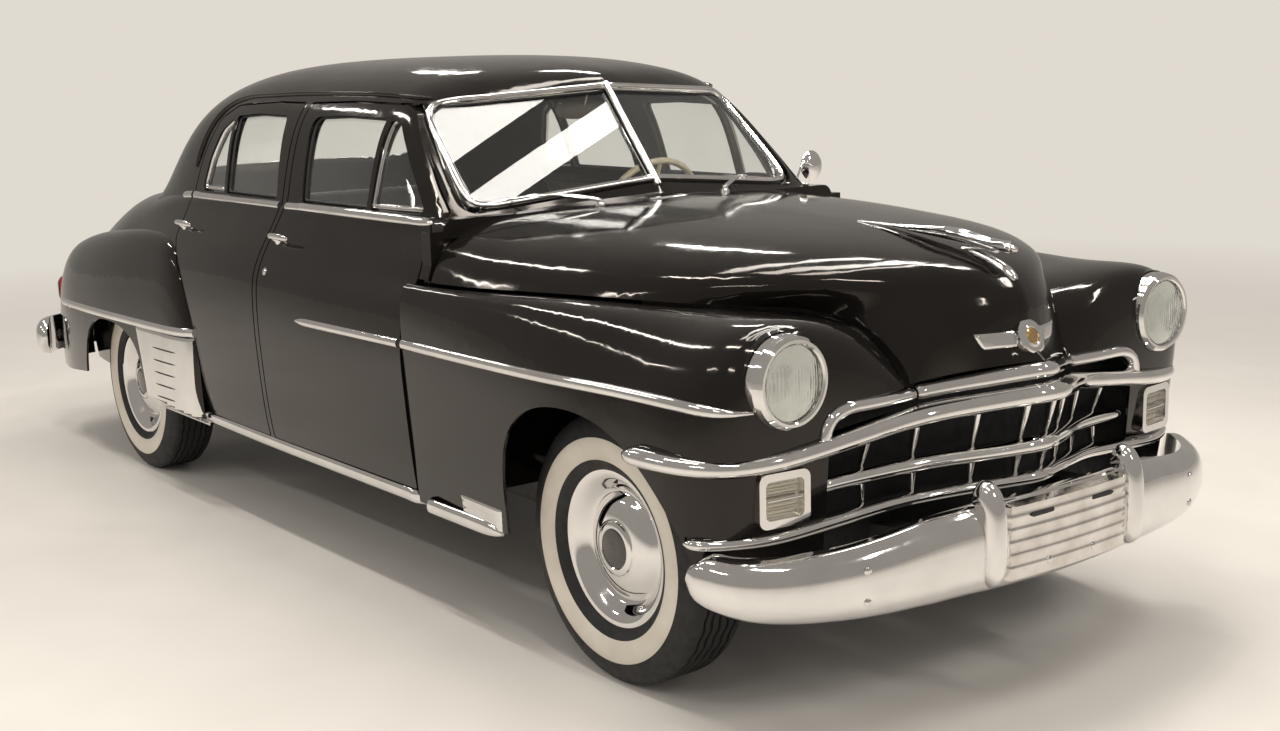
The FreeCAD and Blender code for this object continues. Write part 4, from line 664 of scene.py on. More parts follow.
# Ribbed plate between the front guards, and bumper bolts
blade_path = whole(blade_pts, 150)
verts = []
rows, cols = 45, 34
for i in range(rows):
    f = i / (rows - 1)
    z = 0.352 + 0.192 * f
    for j in range(cols):
        y = -0.236 + 0.472 * j / (cols - 1)
        x = on_path(blade_path, y).x + 0.031 + 0.003
        rim = i in (0, rows - 1) or j in (0, cols - 1)
        rib = 0.0022 * max(0.0, math.cos(2 * math.pi * 6 * f)) if 0.05 < f < 0.95 else 0
        verts.append(Vector((x + rib - (0.03 if rim else 0), y, z)))
piece("centre_plate", verts, grid_faces(rows, cols), mats=old_chrome, sharp=60)
# The dark rubber strips laid on the plate are painted shade standing for its two slots
for i, y in enumerate((-0.115, 0.115)):
    x = on_path(blade_path, y).x + 0.0365
    line = [Vector((x, y + d, 0.512)) for d in (-0.046, -0.036, 0, 0.036, 0.046)]
    sweep("plate_slot_shade_%d" % i, line, oval(0.0015, 0.0062, 10, 3.5), mat=seal, scale=[0.3, 1, 1, 1, 0.3])
for i, (y, z) in enumerate(((-0.62, 0.452), (-0.62, 0.376), (0.62, 0.452), (0.62, 0.376), (-0.085, 0.385),
        (0.085, 0.385))):
    p = on_path(blade_path, y)
    q = on_path(blade_path, y + 0.01)
    n = (q - p).cross(Vector((0, 0, 1))).normalized()
    reach = 0.0295 if abs(y) > 0.3 else 0.035
    turned("bumper_bolt_%d" % i, Vector((p.x, p.y, z)) + n * reach, n,
        [(0, 0.0045), (0.006, 0.0038), (0.0095, 0.0015), (0.0105, -0.004), (0, -0.004)], steps=20)

# Window frames, seals and rails
def rounded(corners, radii, per=7):
    """A closed outline whose corners are arcs."""
    out = []
    for i, (c, r) in enumerate(zip(corners, radii)):
        c = Vector(c)
        a, b = Vector(corners[i - 1]) - c, Vector(corners[(i + 1) % len(corners)]) - c
        half = a.angle(b) / 2
        reach = min(r / math.tan(half), 0.46 * a.length, 0.46 * b.length)
        r = reach * math.tan(half)
        a.normalize()
        b.normalize()
        hub = c + (a + b).normalized() * (r / math.sin(half))
        p, q = c + a * reach - hub, c + b * reach - hub
        for k in range(per + 1):
            f = k / per
            out.append(hub + (p * (1 - f) + q * f).normalized() * r)
    return out


def even_ring(points, step=0.012):
    pts = np.array([tuple(p) for p in points] + [tuple(points[0])])
    along = np.concatenate([[0], np.cumsum(np.linalg.norm(np.diff(pts, axis=0), axis=1))])
    n = max(24, int(along[-1] / step))
    return [Vector((np.interp(v, along, pts[:, 0]), np.interp(v, along, pts[:, 1])))
        for v in np.linspace(0, along[-1], n, endpoint=False)]


def inset(ring, d):
    """A flat ring moved inward by d."""
    n = len(ring)
    centre = sum(ring, Vector((0, 0))) / n
    normals = []
    for i in range(n):
        t = (ring[(i + 1) % n] - ring[i - 1]).normalized()
        normals.append(Vector((-t.y, t.x)))
    turn = 1 if sum(m.dot(centre - p) for m, p in zip(normals, ring)) > 0 else -1
    return [p + m * (turn * d) for p, m in zip(ring, normals)]


def filled(feet):
    """The ring with its missing feet put in line between their neighbours, and its normals evened."""
    n = len(feet)
    known = [i for i in range(n) if feet[i]]
    out = []
    for i in range(n):
        if feet[i]:
            out.append(feet[i])
            continue
        a = max((k for k in known if k < i), default=known[-1] - n)
        b = min((k for k in known if k > i), default=known[0] + n)
        f = (i - a) / (b - a)
        (p, m), (q, o) = feet[a % n], feet[b % n]
        out.append((p.lerp(q, f), (m * (1 - f) + o * f).normalized()))
    even = []
    for i in range(n):
        s = sum((out[(i + k) % n][1] for k in range(-3, 4)), Vector())
        even.append((out[i][0], s.normalized()))
    return even


def ring_shape(feet, profile):
    """A closed trim ring. profile: closed (inward, proud) points."""
    n = len(feet)
    centre = sum((f[0] for f in feet), Vector()) / n
    sides = []
    for i in range(n):
        t = (feet[(i + 1) % n][0] - feet[i - 1][0]).normalized()
        sides.append(feet[i][1].cross(t).normalized())
    turn = 1 if sum(s.dot(centre - f[0]) for s, f in zip(sides, feet)) > 0 else -1
    verts = [f[0] + s * (turn * a) + f[1] * b for s, f in zip(sides, feet) for a, b in profile]
    return verts, grid_faces(n, len(profile), wrap_rows=True, wrap_cols=True)


side_windows = [
    ("main_front", "door_front_left", False, (0.012, 0.014, 0.3, 0.034, 0.014),
     [(-1.262, 1.178), (-1.272, 1.455), (-1.5, 1.462), (-1.728, 1.455), (-1.696, 1.178)]),
    ("vent", "door_front_left", True, (0.012, 0.02, 0.014, 0.012),
     [(-0.944, 1.178), (-1.2, 1.44), (-1.25, 1.452), (-1.24, 1.178)]),
    ("main_rear", "door_rear_left", False, (0.014, 0.034, 0.3, 0.012, 0.012),
     [(-1.884, 1.178), (-1.924, 1.458), (-2.15, 1.462), (-2.336, 1.452), (-2.306, 1.178)]),
    ("quarter", "door_rear_left", True, (0.012, 0.012, 0.06, 0.06, 0.024),
     [(-2.326, 1.178), (-2.356, 1.446), (-2.44, 1.4), (-2.5, 1.29), (-2.53, 1.178)]),
]
for key, body, bright, radii, corners in side_windows:
    ring = inset(even_ring(rounded(corners, radii)), 0.005)
    feet = filled([cast(side_glass, (front_x + s, left_of_all, z), (0, -1, 0)) for s, z in ring])
    section = crown(0.0034, 0.009) if bright else crown(0.0048, 0.006)
    verts, faces = ring_shape(feet, section)
    both_sides("frame_" + key, verts, faces, body, chrome if bright else seal, sharp=40)
for key, body, ends in (("vent", "door_front_left", [(-1.232, 1.191), (-1.1, 1.191), (-0.972, 1.191)]),
        ("quarter", "door_rear_left", [(-2.334, 1.191), (-2.42, 1.191), (-2.515, 1.191)])):
    moulding("sill_" + key, ends, 0.0075, 0.013, body, skin=side_glass, count=18)

wind_corners = [(0.69, 1.17), (0.648, 1.497), (0, 1.5345), (-0.648, 1.497), (-0.69, 1.17), (0, 1.2325)]
ring = inset(even_ring(rounded(wind_corners, (0.056, 0.06, 0.4, 0.06, 0.056, 0.4)), 0.01), 0.01)
feet = filled([cast(wind_glass, (ahead_of_all, y, z), (-1, 0, 0)) for y, z in ring])
ridged = [(-0.013, -0.002), (-0.013, 0.017), (-0.0105, 0.0205), (-0.007, 0.0215), (-0.0035, 0.02),
    (-0.001, 0.0165), (0.0015, 0.017), (0.004, 0.0178), (0.007, 0.0165), (0.009, 0.0125), (0.0095, 0.004),
    (0.0095, -0.001)]
plain_feet = feet


def eased(feet, near, rounds):
    """The ring with its corners near the given (y, z) points rounded in space."""
    n = len(feet)
    pts = [f[0].copy() for f in feet]
    free = [min(math.hypot(abs(p.y) - y, p.z - z) for y, z in near) < 0.085 for p in pts]
    for _ in range(rounds):
        pts = [p * 0.5 + (pts[i - 1] + pts[(i + 1) % n]) * 0.25 if free[i] else p for i, p in enumerate(pts)]
    return [(p, f[1]) for p, f in zip(pts, feet)], free


wind_low = max((f[0] for f in feet), key=lambda p: p.y - p.z)
wind_high = max((f[0] for f in feet), key=lambda p: p.y + p.z * 3)
feet, corner_feet = eased(feet, [(wind_low.y, wind_low.z), (wind_high.y, wind_high.z)], 45)
verts, faces = ring_shape(feet, ridged)
piece("windshield_frame", verts, faces, sharp=40)
verts, faces = ring_shape(feet, [(0.0088, -0.0005), (0.0088, 0.005), (0.0115, 0.0045), (0.0135, 0.002),
    (0.014, -0.0005)])
piece("windshield_seal", verts, faces, mats=seal, sharp=40)
verts, faces = [], []
for i, (a, b) in enumerate(zip(plain_feet, feet)):
    verts += [a[0] + a[1] * 0.0005, a[0] + a[1] * 0.015, b[0] + b[1] * 0.015, b[0] + b[1] * 0.0005]
for i in range(len(feet)):
    j = (i + 1) % len(feet)
    if corner_feet[i] and corner_feet[j] and (plain_feet[i][0] - feet[i][0]).length > 0.0004:
        faces += [(4 * i + 1, 4 * i + 2, 4 * j + 2, 4 * j + 1), (4 * i, 4 * i + 1, 4 * j + 1, 4 * j)]
used = sorted({k for f in faces for k in f})
index = {k: i for i, k in enumerate(used)}
piece("windshield_corner_fill", [verts[k] for k in used], [tuple(index[k] for k in f) for f in faces],
    mats=paint, sharp=40)
bar_path = []
for i in range(22):
    z = 1.226 + 0.318 * i / 21
    foot = cast(shell, (ahead_of_all, 0.0, z), (-1, 0, 0))
    if foot:
        bar_path.append(foot[0])
sweep("windshield_bar", bar_path, crown(0.0125, 0.0105, 0.006), up=(0.76, 0, 0.65), sharp=45)

back_glass = tree_of("rear_window")
back_corners = [(-0.52, 1.206), (0.52, 1.206), (0.47, 1.448), (-0.47, 1.448)]
ring = inset(even_ring(rounded(back_corners, (0.07, 0.07, 0.08, 0.08)), 0.012), 0.006)
feet = filled([cast(back_glass, (behind_all, y, z), (1, 0, 0)) for y, z in ring])
verts, faces = ring_shape(feet, crown(0.0065, 0.017, 0.001, 11))
piece("rear_window_frame", verts, faces, sharp=40)
verts, faces = ring_shape(feet, [(0.006, -0.0005), (0.006, 0.005), (0.0095, 0.004), (0.0115, 0.0015),
    (0.0115, -0.0005)])
piece("rear_window_seal", verts, faces, mats=seal, sharp=40)

moulding("drip_rail", [(-1.185, 1.512), (-1.35, 1.524), (-1.6, 1.529), (-1.9, 1.529), (-2.2, 1.522),
    (-2.4, 1.506), (-2.51, 1.463), (-2.58, 1.375), (-2.622, 1.26)], 0.0065, 0.0105, "car_body", paint,
    count=90, skin=shell, low=0.4)

# Wipers, cowl lid and mirrors
for i, (s_p, y_p, y_mid, y_a, y_b) in enumerate(((-0.683, -0.3, -0.52, -0.4, -0.63),
        (-0.7, 0.212, 0.43, 0.3, 0.545))):
    foot, n = from_above(front_x + s_p, y_p, shell)
    turned("wiper_pivot_%d" % i, foot, n, [(0, 0.022), (0.006, 0.021), (0.0085, 0.016), (0.009, 0.009),
        (0.014, 0.006), (0.016, -0.003), (0, -0.003)], steps=24)
    line = []
    for y in np.linspace(y_a, y_b, 14):
        z = 1.243 - 0.058 * (abs(y) / 0.55) ** 1.1 + 0.01
        hit = cast(wind_glass, (ahead_of_all, y, z), (-1, 0, 0))
        if hit:
            line.append(hit[0] + hit[1] * 0.014)
    mid = min(line, key=lambda q: abs(q.y - y_mid))
    arm = smooth_line([foot + n * 0.016, foot.lerp(mid, 0.45) + Vector((0.012, 0, 0.026)),
        mid + Vector((0, 0, 0.004))], 20)
    sweep("wiper_arm_%d" % i, arm, oval(0.0055, 0.0028, 12), up=(0.76, 0, 0.65),
        scale=[1.25 - 0.5 * k / 19 for k in range(20)])
    sweep("wiper_blade_%d" % i, line, [(-0.0035, -0.0115), (0.0035, -0.0115), (0.0028, 0.001),
        (-0.0028, 0.001)], mat=seal, up=(0.76, 0, 0.65))
    sweep("wiper_spine_%d" % i, [q + Vector((0.002, 0, 0.0015)) for q in line[1:-1]],
        oval(0.0042, 0.0018, 10), up=(0.76, 0, 0.65), scale=tapered(len(line) - 2, 3, 0.3))

rows, cols = 20, 40
verts = []
for i in range(rows):
    for j in range(cols):
        u, v = 2 * i / (rows - 1) - 1, 2 * j / (cols - 1) - 1
        s = -0.672 + 0.046 * u * (1 - 0.1 * v * v)
        y = 0.158 * v * (1 - 0.06 * u * u)
        foot, n = from_above(front_x + s, y, shell)
        edge = max(abs(u), abs(v))
        lift = 0.0055 * (1 - max(0.0, (edge - 0.86) / 0.14) ** 2) - 0.001
        verts.append(foot + n * lift)
piece("cowl_lid", verts, grid_faces(rows, cols), mats=paint, sharp=50)

door_foot, door_n = from_left(front_x - 0.985, 1.1625, left_doors)
mirror_at = at(-1.01, 0.893, 1.222)
stem = smooth_line([door_foot - door_n * 0.002, door_foot + door_n * 0.03 + Vector((0.004, 0, 0.004)),
    door_foot + door_n * 0.062 + Vector((0.006, 0, 0.022)), mirror_at + Vector((0.012, 0, -0.006))], 26)
sweep("door_mirror_stem", stem, oval(0.0048, 0.0048, 14, 2), "door_front_left", up=(1, 0, 0.1),
    scale=[1.7 - 0.8 * min(1, k / 5) for k in range(26)])
mirror_axis = Vector((1, 0.1, 0.02)).normalized()
turned("door_mirror_shell", mirror_at, mirror_axis, [(0, 0.022), (0.016, 0.0205), (0.032, 0.0155),
    (0.045, 0.0075), (0.0525, -0.001), (0.0545, -0.0045), (0.0535, -0.0075), (0.05, -0.008),
    (0.0495, -0.0055), (0, -0.0055)], "door_front_left", steps=64)
turned("door_mirror_glass", mirror_at, mirror_axis, [(0, -0.0056), (0.049, -0.0056), (0.049, -0.007),
    (0.03, -0.0078), (0, -0.0082)], "door_front_left", silver, 64)
turned("door_mirror_foot", door_foot, door_n, [(0, 0.007), (0.008, 0.0065), (0.014, 0.003), (0.0165, -0.002),
    (0, -0.002)], "door_front_left", steps=28)

# Hood ornament and the bare emblem
def hood_top(s, lift):
    return from_above(front_x + s, 0.0, hood_skin)[0] + Vector((0, 0, lift))


spine = smooth_line([hood_top(0.11, 0.001), hood_top(0.17, 0.004), hood_top(0.24, 0.0075),
    hood_top(0.36, 0.016), hood_top(0.48, 0.026), at(0.585, 0, 1.1335), at(0.64, 0, 1.1325)], 70)
sweep("ornament_spine", spine, crown(0.0095, 0.0085, 0.01, 11), "hood", up=(0, 0, 1),
    scale=[0.28 + 0.72 * min(1.0, (k / 44) ** 0.8) for k in range(70)], sharp=50)
for side, way in sides:
    fin = smooth_line([hood_top(0.205, 0.006) + Vector((0, way * 0.012, 0)),
        hood_top(0.33, 0.018) + Vector((0, way * 0.021, 0)),
        hood_top(0.45, 0.034) + Vector((0, way * 0.023, 0)), at(0.56, way * 0.018, 1.143),
        at(0.628, way * 0.01, 1.139)], 50)
    sweep("ornament_fin_" + side, fin, oval(0.0115, 0.003, 14, 2.4), "hood", up=(0, -way * 0.45, 1),
        scale=[0.22 + 0.78 * math.sin(math.pi * min(1.0, (k + 1) / 34) / 2) for k in range(50)], sharp=50)
    web = smooth_line([hood_top(0.3, 0.008) + Vector((0, way * 0.01, 0)),
        hood_top(0.42, 0.018) + Vector((0, way * 0.013, 0)),
        hood_top(0.52, 0.026) + Vector((0, way * 0.012, 0)), at(0.602, way * 0.006, 1.122)], 34)
    sweep("ornament_web_" + side, web, oval(0.0085, 0.0055, 12, 2.4), "hood", up=(0, -way, 0.6),
        scale=[0.25 + 0.75 * min(1.0, k / 16) for k in range(34)], sharp=50)
turned("ornament_nose", at(0.585, 0, 1.1335), (1, 0, -0.09),
    [(0, 0.079), (0.0055, 0.078), (0.009, 0.074), (0.0105, 0.069), (0.0098, 0.064), (0.0118, 0.061),
    (0.0128, 0.05), (0.0132, 0.03), (0.0125, 0.01), (0.01, -0.02), (0, -0.045)], "hood", steps=40)
tongue = [from_front(0.0, float(z), hood_skin)[0] for z in np.linspace(1.05, 1.1185, 16)]
tongue.append(at(0.6, 0, 1.126))
sweep("ornament_tongue", tongue, crown(0.0165, 0.012, 0.004, 13, 1.7), "hood", up=(1, 0, 0.35),
    scale=[min(1.0, 0.45 + 0.55 * math.sqrt(min(1.0, k / 4))) * (1 - 0.028 * max(0, k - 5))
    for k in range(17)], sharp=50)

crest, crest_n = from_front(0.0, 0.912, hood_skin)
crest_n = Vector((1, 0, crest_n.z)).normalized()
turned("emblem_ring", crest + crest_n * -0.004, crest_n,
    [(0.0215, 0.0165), (0.0245, 0.018), (0.0275, 0.0165), (0.03, 0.015), (0.0345, 0.0155),
    (0.041, 0.015), (0.0455, 0.012), (0.047, 0.005), (0.0465, -0.004), (0.0215, -0.004)], "hood",
    steps=72, sharp=25)
turned("emblem_centre", crest + crest_n * -0.004, crest_n,
    [(0, 0.0175), (0.01, 0.0168), (0.018, 0.015), (0.0218, 0.013), (0.0218, -0.002), (0, -0.002)], "hood",
    brass, 48)
for side, way in sides:
    def wing(u, v, way=way):
        y = 0.026 + (0.1 + 0.026 * u ** 0.7) * v
        return from_front(way * y, 0.893 + 0.038 * u - 0.004 * v * (1 - u), hood_skin)

    verts, faces = sheet(10, 26, wing, lambda u, v: 0.003 + 0.0015 * math.sin(math.pi * u), -0.001)
    piece("emblem_wing_" + side, verts, faces, "hood", sharp=60)

# Lamp glass with flutes and ribs
def fluted_lens(name, way):
    rings, steps, lens_r, thick = 34, 96, 0.09, 0.006
    flat_r, flute, lamp_y, lamp_z = 0.083, 0.0098, 0.708, 0.88
    verts = []
    for inner in (False, True):
        for i in range(rings + 1):
            r = lens_r * i / rings
            x = float(np.interp(r, (0.0, 0.038, 0.066, lens_r), (0.047, 0.045, 0.039, 0.0303)))
            for j in range(steps):
                t = 2 * math.pi * j / steps
                y, z = r * math.cos(t), r * math.sin(t)
                cut = 0.00085 * math.cos(2 * math.pi * y / flute) * (1 if r < flat_r else 0.2)
                x_here = 0.58 + x - thick if inner else 0.58 + x + cut
                verts.append(at(x_here, way * lamp_y + y, lamp_z + z))
    per, edge = (rings + 1) * steps, rings * steps
    faces = [tuple(base + k for k in f) for base in (0, per)
        for f in grid_faces(rings + 1, steps, wrap_cols=True)]
    for j in range(steps):
        a, b = edge + j, edge + (j + 1) % steps
        faces.append((a, b, per + b, per + a))
    return piece(name, verts, faces, mats=lamp_glass, sharp=60)


lens = fluted_lens("headlamp_glass_left", 1)
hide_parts("headlamp_lenses")
fluted_lens("headlamp_glass_right", -1)

# Dark sheets that close the nose behind the grille's ends: painted shade standing for the dark cavity there
for side, way in sides:
    line = smooth_line([at(0.506, way * 0.56, 0), at(0.512, way * 0.59, 0), at(0.532, way * 0.618, 0),
        at(0.566, way * 0.632, 0)], 16)
    verts = [p + Vector((dx, 0, z)) for z in (0.43, 0.785) for dx in (0, -0.004) for p in line]
    k = len(line)
    faces = []
    for a, b in ((0, 1), (1, 3), (3, 2), (2, 0)):
        faces += [(a * k + i, a * k + i + 1, b * k + i + 1, b * k + i) for i in range(k - 1)]
    faces += [(0, k, 3 * k, 2 * k), (k - 1, 2 * k - 1, 4 * k - 1, 3 * k - 1)]
    piece("nose_shade_sheet_" + side, verts, faces, mats=radiator_black_and_shade, sharp=60)

# Tyres and wheels
tyre_r = (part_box("tyre_front_left")[1][2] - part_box("tyre_front_left")[0][2]) / 2
rim_r = 0.21


def tyre(name, centre, outward, body):
    """Ribbed tread, rounded shoulders and a pale band on the outer wall."""
    steps = 144
    prof = [(rim_r - 0.012, 0.06), (rim_r + 0.002, 0.075), (rim_r + 0.01, 0.083), (rim_r + 0.024, 0.0905),
        (rim_r + 0.027, 0.0915), (rim_r + 0.03, 0.0935), (rim_r + 0.05, 0.0995), (rim_r + 0.07, 0.1022),
        (0.296, 0.1018), (0.3, 0.1004), (0.303, 0.0992), (tyre_r - 0.046, 0.0975),
        (tyre_r - 0.026, 0.09), (tyre_r - 0.014, 0.0835), (tyre_r - 0.005, 0.0745),
        (tyre_r - 0.0015, 0.066)]
    groove = [0.05, 0.026, 0.0, -0.026, -0.05]
    for g in groove:
        prof += [(tyre_r - 0.0004, g + 0.0045), (tyre_r - 0.008, g + 0.0032), (tyre_r - 0.008, g - 0.0032),
            (tyre_r - 0.0004, g - 0.0045)]
    wall = [(r, -a) for r, a in prof[:16]]
    prof += wall[::-1]
    k = len(prof)
    outside = 1 if outward[1] > 0 else -1
    verts = []
    for i in range(steps):
        t = 2 * math.pi * i / steps
        for j, (r, a) in enumerate(prof):
            if 16 <= j < 16 + 4 * len(groove):
                a += 0.0022 * (1 if i % 4 < 2 else -1)
            verts.append(Vector(centre) + Vector((math.cos(t) * r, outside * a, math.sin(t) * r)))
    faces = grid_faces(steps, k, wrap_rows=True, wrap_cols=True)
    mats = [1 if 5 <= j < 9 else 0 for _ in range(steps) for j in range(k)]
    obj = piece(name + "_rubber", verts, faces, body, [rubber, whitewall], "tyre_rubber", 32, mats)
    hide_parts(name)


def wheel(name, centre, outward, f, body):
    """The full disc cover, f out from the middle, with its raised dome and bare medallion."""
    face = [(0.0735, -0.0085), (0.0755, -0.01), (0.08, -0.0105), (0.095, -0.014), (0.115, -0.0215),
        (0.13, -0.031), (0.1405, -0.04), (0.144, -0.0425), (0.147, -0.044), (0.152, -0.0425),
        (0.16, -0.036), (0.172, -0.0235), (0.184, -0.0135), (0.194, -0.007), (0.203, -0.0045),
        (0.2105, -0.004), (0.2135, -0.006), (0.214, -0.01), (0.2125, -0.015), (0.2095, -0.022)]
    prof = [(r, min(f + a, 0.0835) if r > 0.19 else f + a) for r, a in face]
    back = [(0.206, 0.062), (0.198, 0.06), (0.1977, -0.06), (0.209, -0.073), (0.212, -0.079),
        (0.208, -0.079), (0.1928, -0.064), (0.1928, 0.016), (0.15, 0.02), (0.12, 0.01), (0.07, 0.006),
        (0.042, 0.0), (0.04, -0.028), (0.026, -0.028), (0.026, f - 0.02), (0.06, f - 0.018)]
    obj = turned(name + "_cover", centre, outward, prof + back, body, chrome, 128, "wheel_chrome", sharp=32)
    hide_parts(name)
    ring = [(0.0535, -0.004), (0.056, -0.0022), (0.065, -0.003), (0.0715, -0.006), (0.074, -0.01),
        (0.06, -0.015), (0.0535, -0.012)]
    disc = [(0.0, -0.0022), (0.025, -0.0026), (0.048, -0.004), (0.054, -0.0058), (0.054, -0.012),
        (0.0, -0.012)]
    for part, shape, mat, steps in (("_medal_ring", ring, chrome, 96), ("_medal", disc, medal, 64)):
        turned(name + part, centre, outward, [(r, f + a) for r, a in shape], body, mat, steps,
            "wheel_chrome")
    outside = 1 if outward[1] > 0 else -1
    valve = Vector(centre) + Vector((0.0, outside * (f - 0.03), 0.178))
    turned(name + "_valve", valve, outward, [(0, 0.02), (0.0028, 0.019), (0.004, 0.012), (0.0045, -0.006),
        (0, -0.006)], body, seal, 14)


medal = surface("medallion_dark", (0.06, 0.052, 0.046), (0.036, 0.031, 0.028), (0.18, 0.3), 0.3, 30,
    coat=0.6, grain=0.2, grain_scale=800)
for k, x, y in (("front_left", front_x, front_y), ("front_right", front_x, -front_y),
        ("rear_left", rear_x, rear_y), ("rear_right", rear_x, -rear_y)):
    way = (0, 1 if "left" in k else -1, 0)
    cap = 0.077 if "front" in k else 0.085
    tyre("tyre_" + k, (x, y, wheel_z), way, "wheel_" + k)
    wheel("wheel_" + k, (x, y, wheel_z), way, cap, "wheel_" + k)

# Windshield glass shaded as two even panes
pane_mesh = nodes["windshield_glass"].data.copy()
fits = {}
for way in (1, -1):
    table = []
    for y in np.linspace(0.04, 0.52, 13):
        for z in np.linspace(1.19, 1.44, 9):
            hit = cast(wind_glass, (ahead_of_all, way * float(y), float(z)), (-1, 0, 0))
            if hit:
                table.append((float(y), float(z), hit[0].x))
    table = np.array(table)
    y, z = table[:, 0], table[:, 1]
    fits[way] = np.linalg.lstsq(np.stack([np.ones_like(y), y, z, y * y], 1), table[:, 2], rcond=None)[0]
pane_normals = [None] * len(pane_mesh.loops)
for face in pane_mesh.polygons:
    for k in face.loop_indices:
        v = pane_mesh.vertices[pane_mesh.loops[k].vertex_index].co
        n = face.normal.copy()
        if abs(n.x) > 0.35:
            way, facing = (1 if face.center.y > 0 else -1), (1 if n.x > 0 else -1)
            fit = fits[way]
            n = Vector((1, -way * (fit[1] + 2 * fit[3] * abs(v.y)), -fit[2])).normalized() * facing
        pane_normals[k] = n
pane_mesh.normals_split_custom_set(pane_normals)
pane = put("windshield_pane", pane_mesh, body_of["windshield_glass"], window)
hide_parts("windshield_glass")

# Rear details: lid handle, tail-lamp bezels
def half_box(node, way):
    """The corners of the box round one side's part of a node: way 1 is left, -1 is right."""
    ends = [v.co for v in nodes[node].data.vertices if v.co.y * way > 0]
    return [min(v[a] for v in ends) for a in range(3)], [max(v[a] for v in ends) for a in range(3)]


lid_body = body_of["trunk_lid"]
foot, n = cast(tree_of("trunk_lid"), (behind_all, 0.0, 0.8), (1, 0, 0))
turned("lid_handle_base", foot, n, [(0, 0.012), (0.012, 0.011), (0.019, 0.006), (0.022, -0.001),
    (0, -0.001)], lid_body, steps=32)
grip = [foot + n * r + Vector((0, y, 0)) for y, r in ((-0.06, 0.016), (-0.04, 0.022), (0, 0.024),
    (0.04, 0.022), (0.06, 0.016))]
sweep("lid_handle_grip", grip, oval(0.0065, 0.009, 16, 2.4), lid_body, scale=[0.55, 1, 1.15, 1, 0.55])
park_tree = tree_of("parking_lamp_lenses")
for side, way in sides:
    low, top = half_box("tail_lamps", way)
    y_mid, z_mid = (low[1] + top[1]) / 2, (low[2] + top[2]) / 2
    half_y, half_z = (top[1] - low[1]) / 2 - 0.002, (top[2] - low[2]) / 2 - 0.002
    outline = even_ring(rounded([(y_mid - half_y, z_mid - half_z), (y_mid + half_y, z_mid - half_z),
        (y_mid + half_y, z_mid + half_z), (y_mid - half_y, z_mid + half_z)],
        (min(half_y, half_z) * 0.7,) * 4, 6), 0.006)
    ring_feet = [(Vector((low[0] + 0.014, q.x, q.y)), Vector((-1, 0, 0))) for q in outline]
    verts, faces = ring_shape(ring_feet, crown(0.0055, 0.007, 0.01))
    piece("tail_lamp_bezel_" + side, verts, faces, body_of["tail_lamps"], sharp=40)
    low, top = half_box("parking_lamp_lenses", way)
    for n_b, f in enumerate((0.16, 0.33, 0.5, 0.67, 0.84)):
        z = low[2] + (top[2] - low[2]) * f
        thick = 0.0034 if n_b == 2 else 0.0014
        line = [(low[1] + (top[1] - low[1]) * g, z) for g in (0.05, 0.2, 0.4, 0.6, 0.8, 0.95)]
        feet_b = [cast(park_tree, (front_x + 2.0, y, z), (-1, 0, 0)) for y, z in line]
        if all(feet_b):
            sweep("parking_bar_%s_%d" % (side, n_b), [f_b[0] for f_b in feet_b], oval(thick, thick, 10, 2),
                body_of["parking_lamp_lenses"], chrome if n_b == 2 else park_glass, up=(1, 0, 0),
                scale=tapered(6, 1, 0.7), slot_name=None)

# Cabin
def bench(name, section, radii, width):
    """A crowned cushion across the car with sewn channels. section: (s, z) corners of its side."""
    crowned, channel, seam_width, pitch = 0.007, 0.0035, 0.006, 0.098
    seams = [pitch * k for k in range(-5, 6)]
    base = even_ring(rounded(section, radii, 8), 0.018)
    stations = 121
    verts = []
    for k in range(stations):
        y = width / 2 * math.sin(math.pi / 2 * (2 * k / (stations - 1) - 1) * 0.999)
        e = abs(y) / (width / 2)
        end = 0.03 * (1 - math.sqrt(max(0.0, 1 - max(0.0, (e - 0.94) / 0.06) ** 2)))
        groove = sum(channel * math.exp(-((y - q) / seam_width) ** 2) for q in seams)
        ring = inset(base, end + groove + crowned * (e ** 2) * 0.5)
        verts += [Vector((front_x + q.x, y, q.y)) for q in ring]
    obj = piece(name, verts, tube_faces(stations, len(base)), mats=cloth, sharp=60)
    return obj


seat = bench("front_seat_cushion", [(-1.503, 0.56), (-1.523, 0.688), (-2.005, 0.648), (-2.005, 0.482),
    (-1.563, 0.482)], (0.04, 0.055, 0.03, 0.03, 0.03), 1.286)
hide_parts("front_seat")
bench("front_seat_back", [(-1.938, 0.56), (-1.968, 1.102), (-2.077, 1.102), (-2.107, 0.482),
    (-1.963, 0.482)], (0.04, 0.05, 0.05, 0.03, 0.03), 1.286)
seat = bench("rear_seat_cushion", [(-2.483, 0.589), (-2.503, 0.732), (-2.902, 0.688), (-2.902, 0.589)],
    (0.04, 0.055, 0.03, 0.03), 1.186)
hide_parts("rear_seat")
bench("rear_seat_back", [(-2.803, 0.643), (-2.873, 1.105), (-2.957, 1.105), (-2.957, 0.643)],
    (0.035, 0.04, 0.03, 0.03), 1.176)
for key, s_seam, z_seam, half_width in (("front", -1.512, 0.628, 0.62), ("rear", -2.494, 0.665, 0.57)):
    line = [at(s_seam + 0.012, y, z_seam) for y in np.linspace(-half_width, half_width, 60)]
    sweep("seat_welt_" + key, line, oval(0.0042, 0.0042, 12, 2), mat=leather, scale=tapered(60, 3, 0.3))
base_outline = rounded([(-1.605, 0.402), (-1.605, 0.49), (-1.99, 0.49), (-1.99, 0.402)],
    (0.01, 0.02, 0.02, 0.01), 4)
verts = [Vector((front_x + q.x, y, q.y)) for y in (-0.556, -0.55, 0.55, 0.556) for q in base_outline]
piece("front_seat_base", verts, tube_faces(4, len(base_outline)), mats=leather, sharp=40)


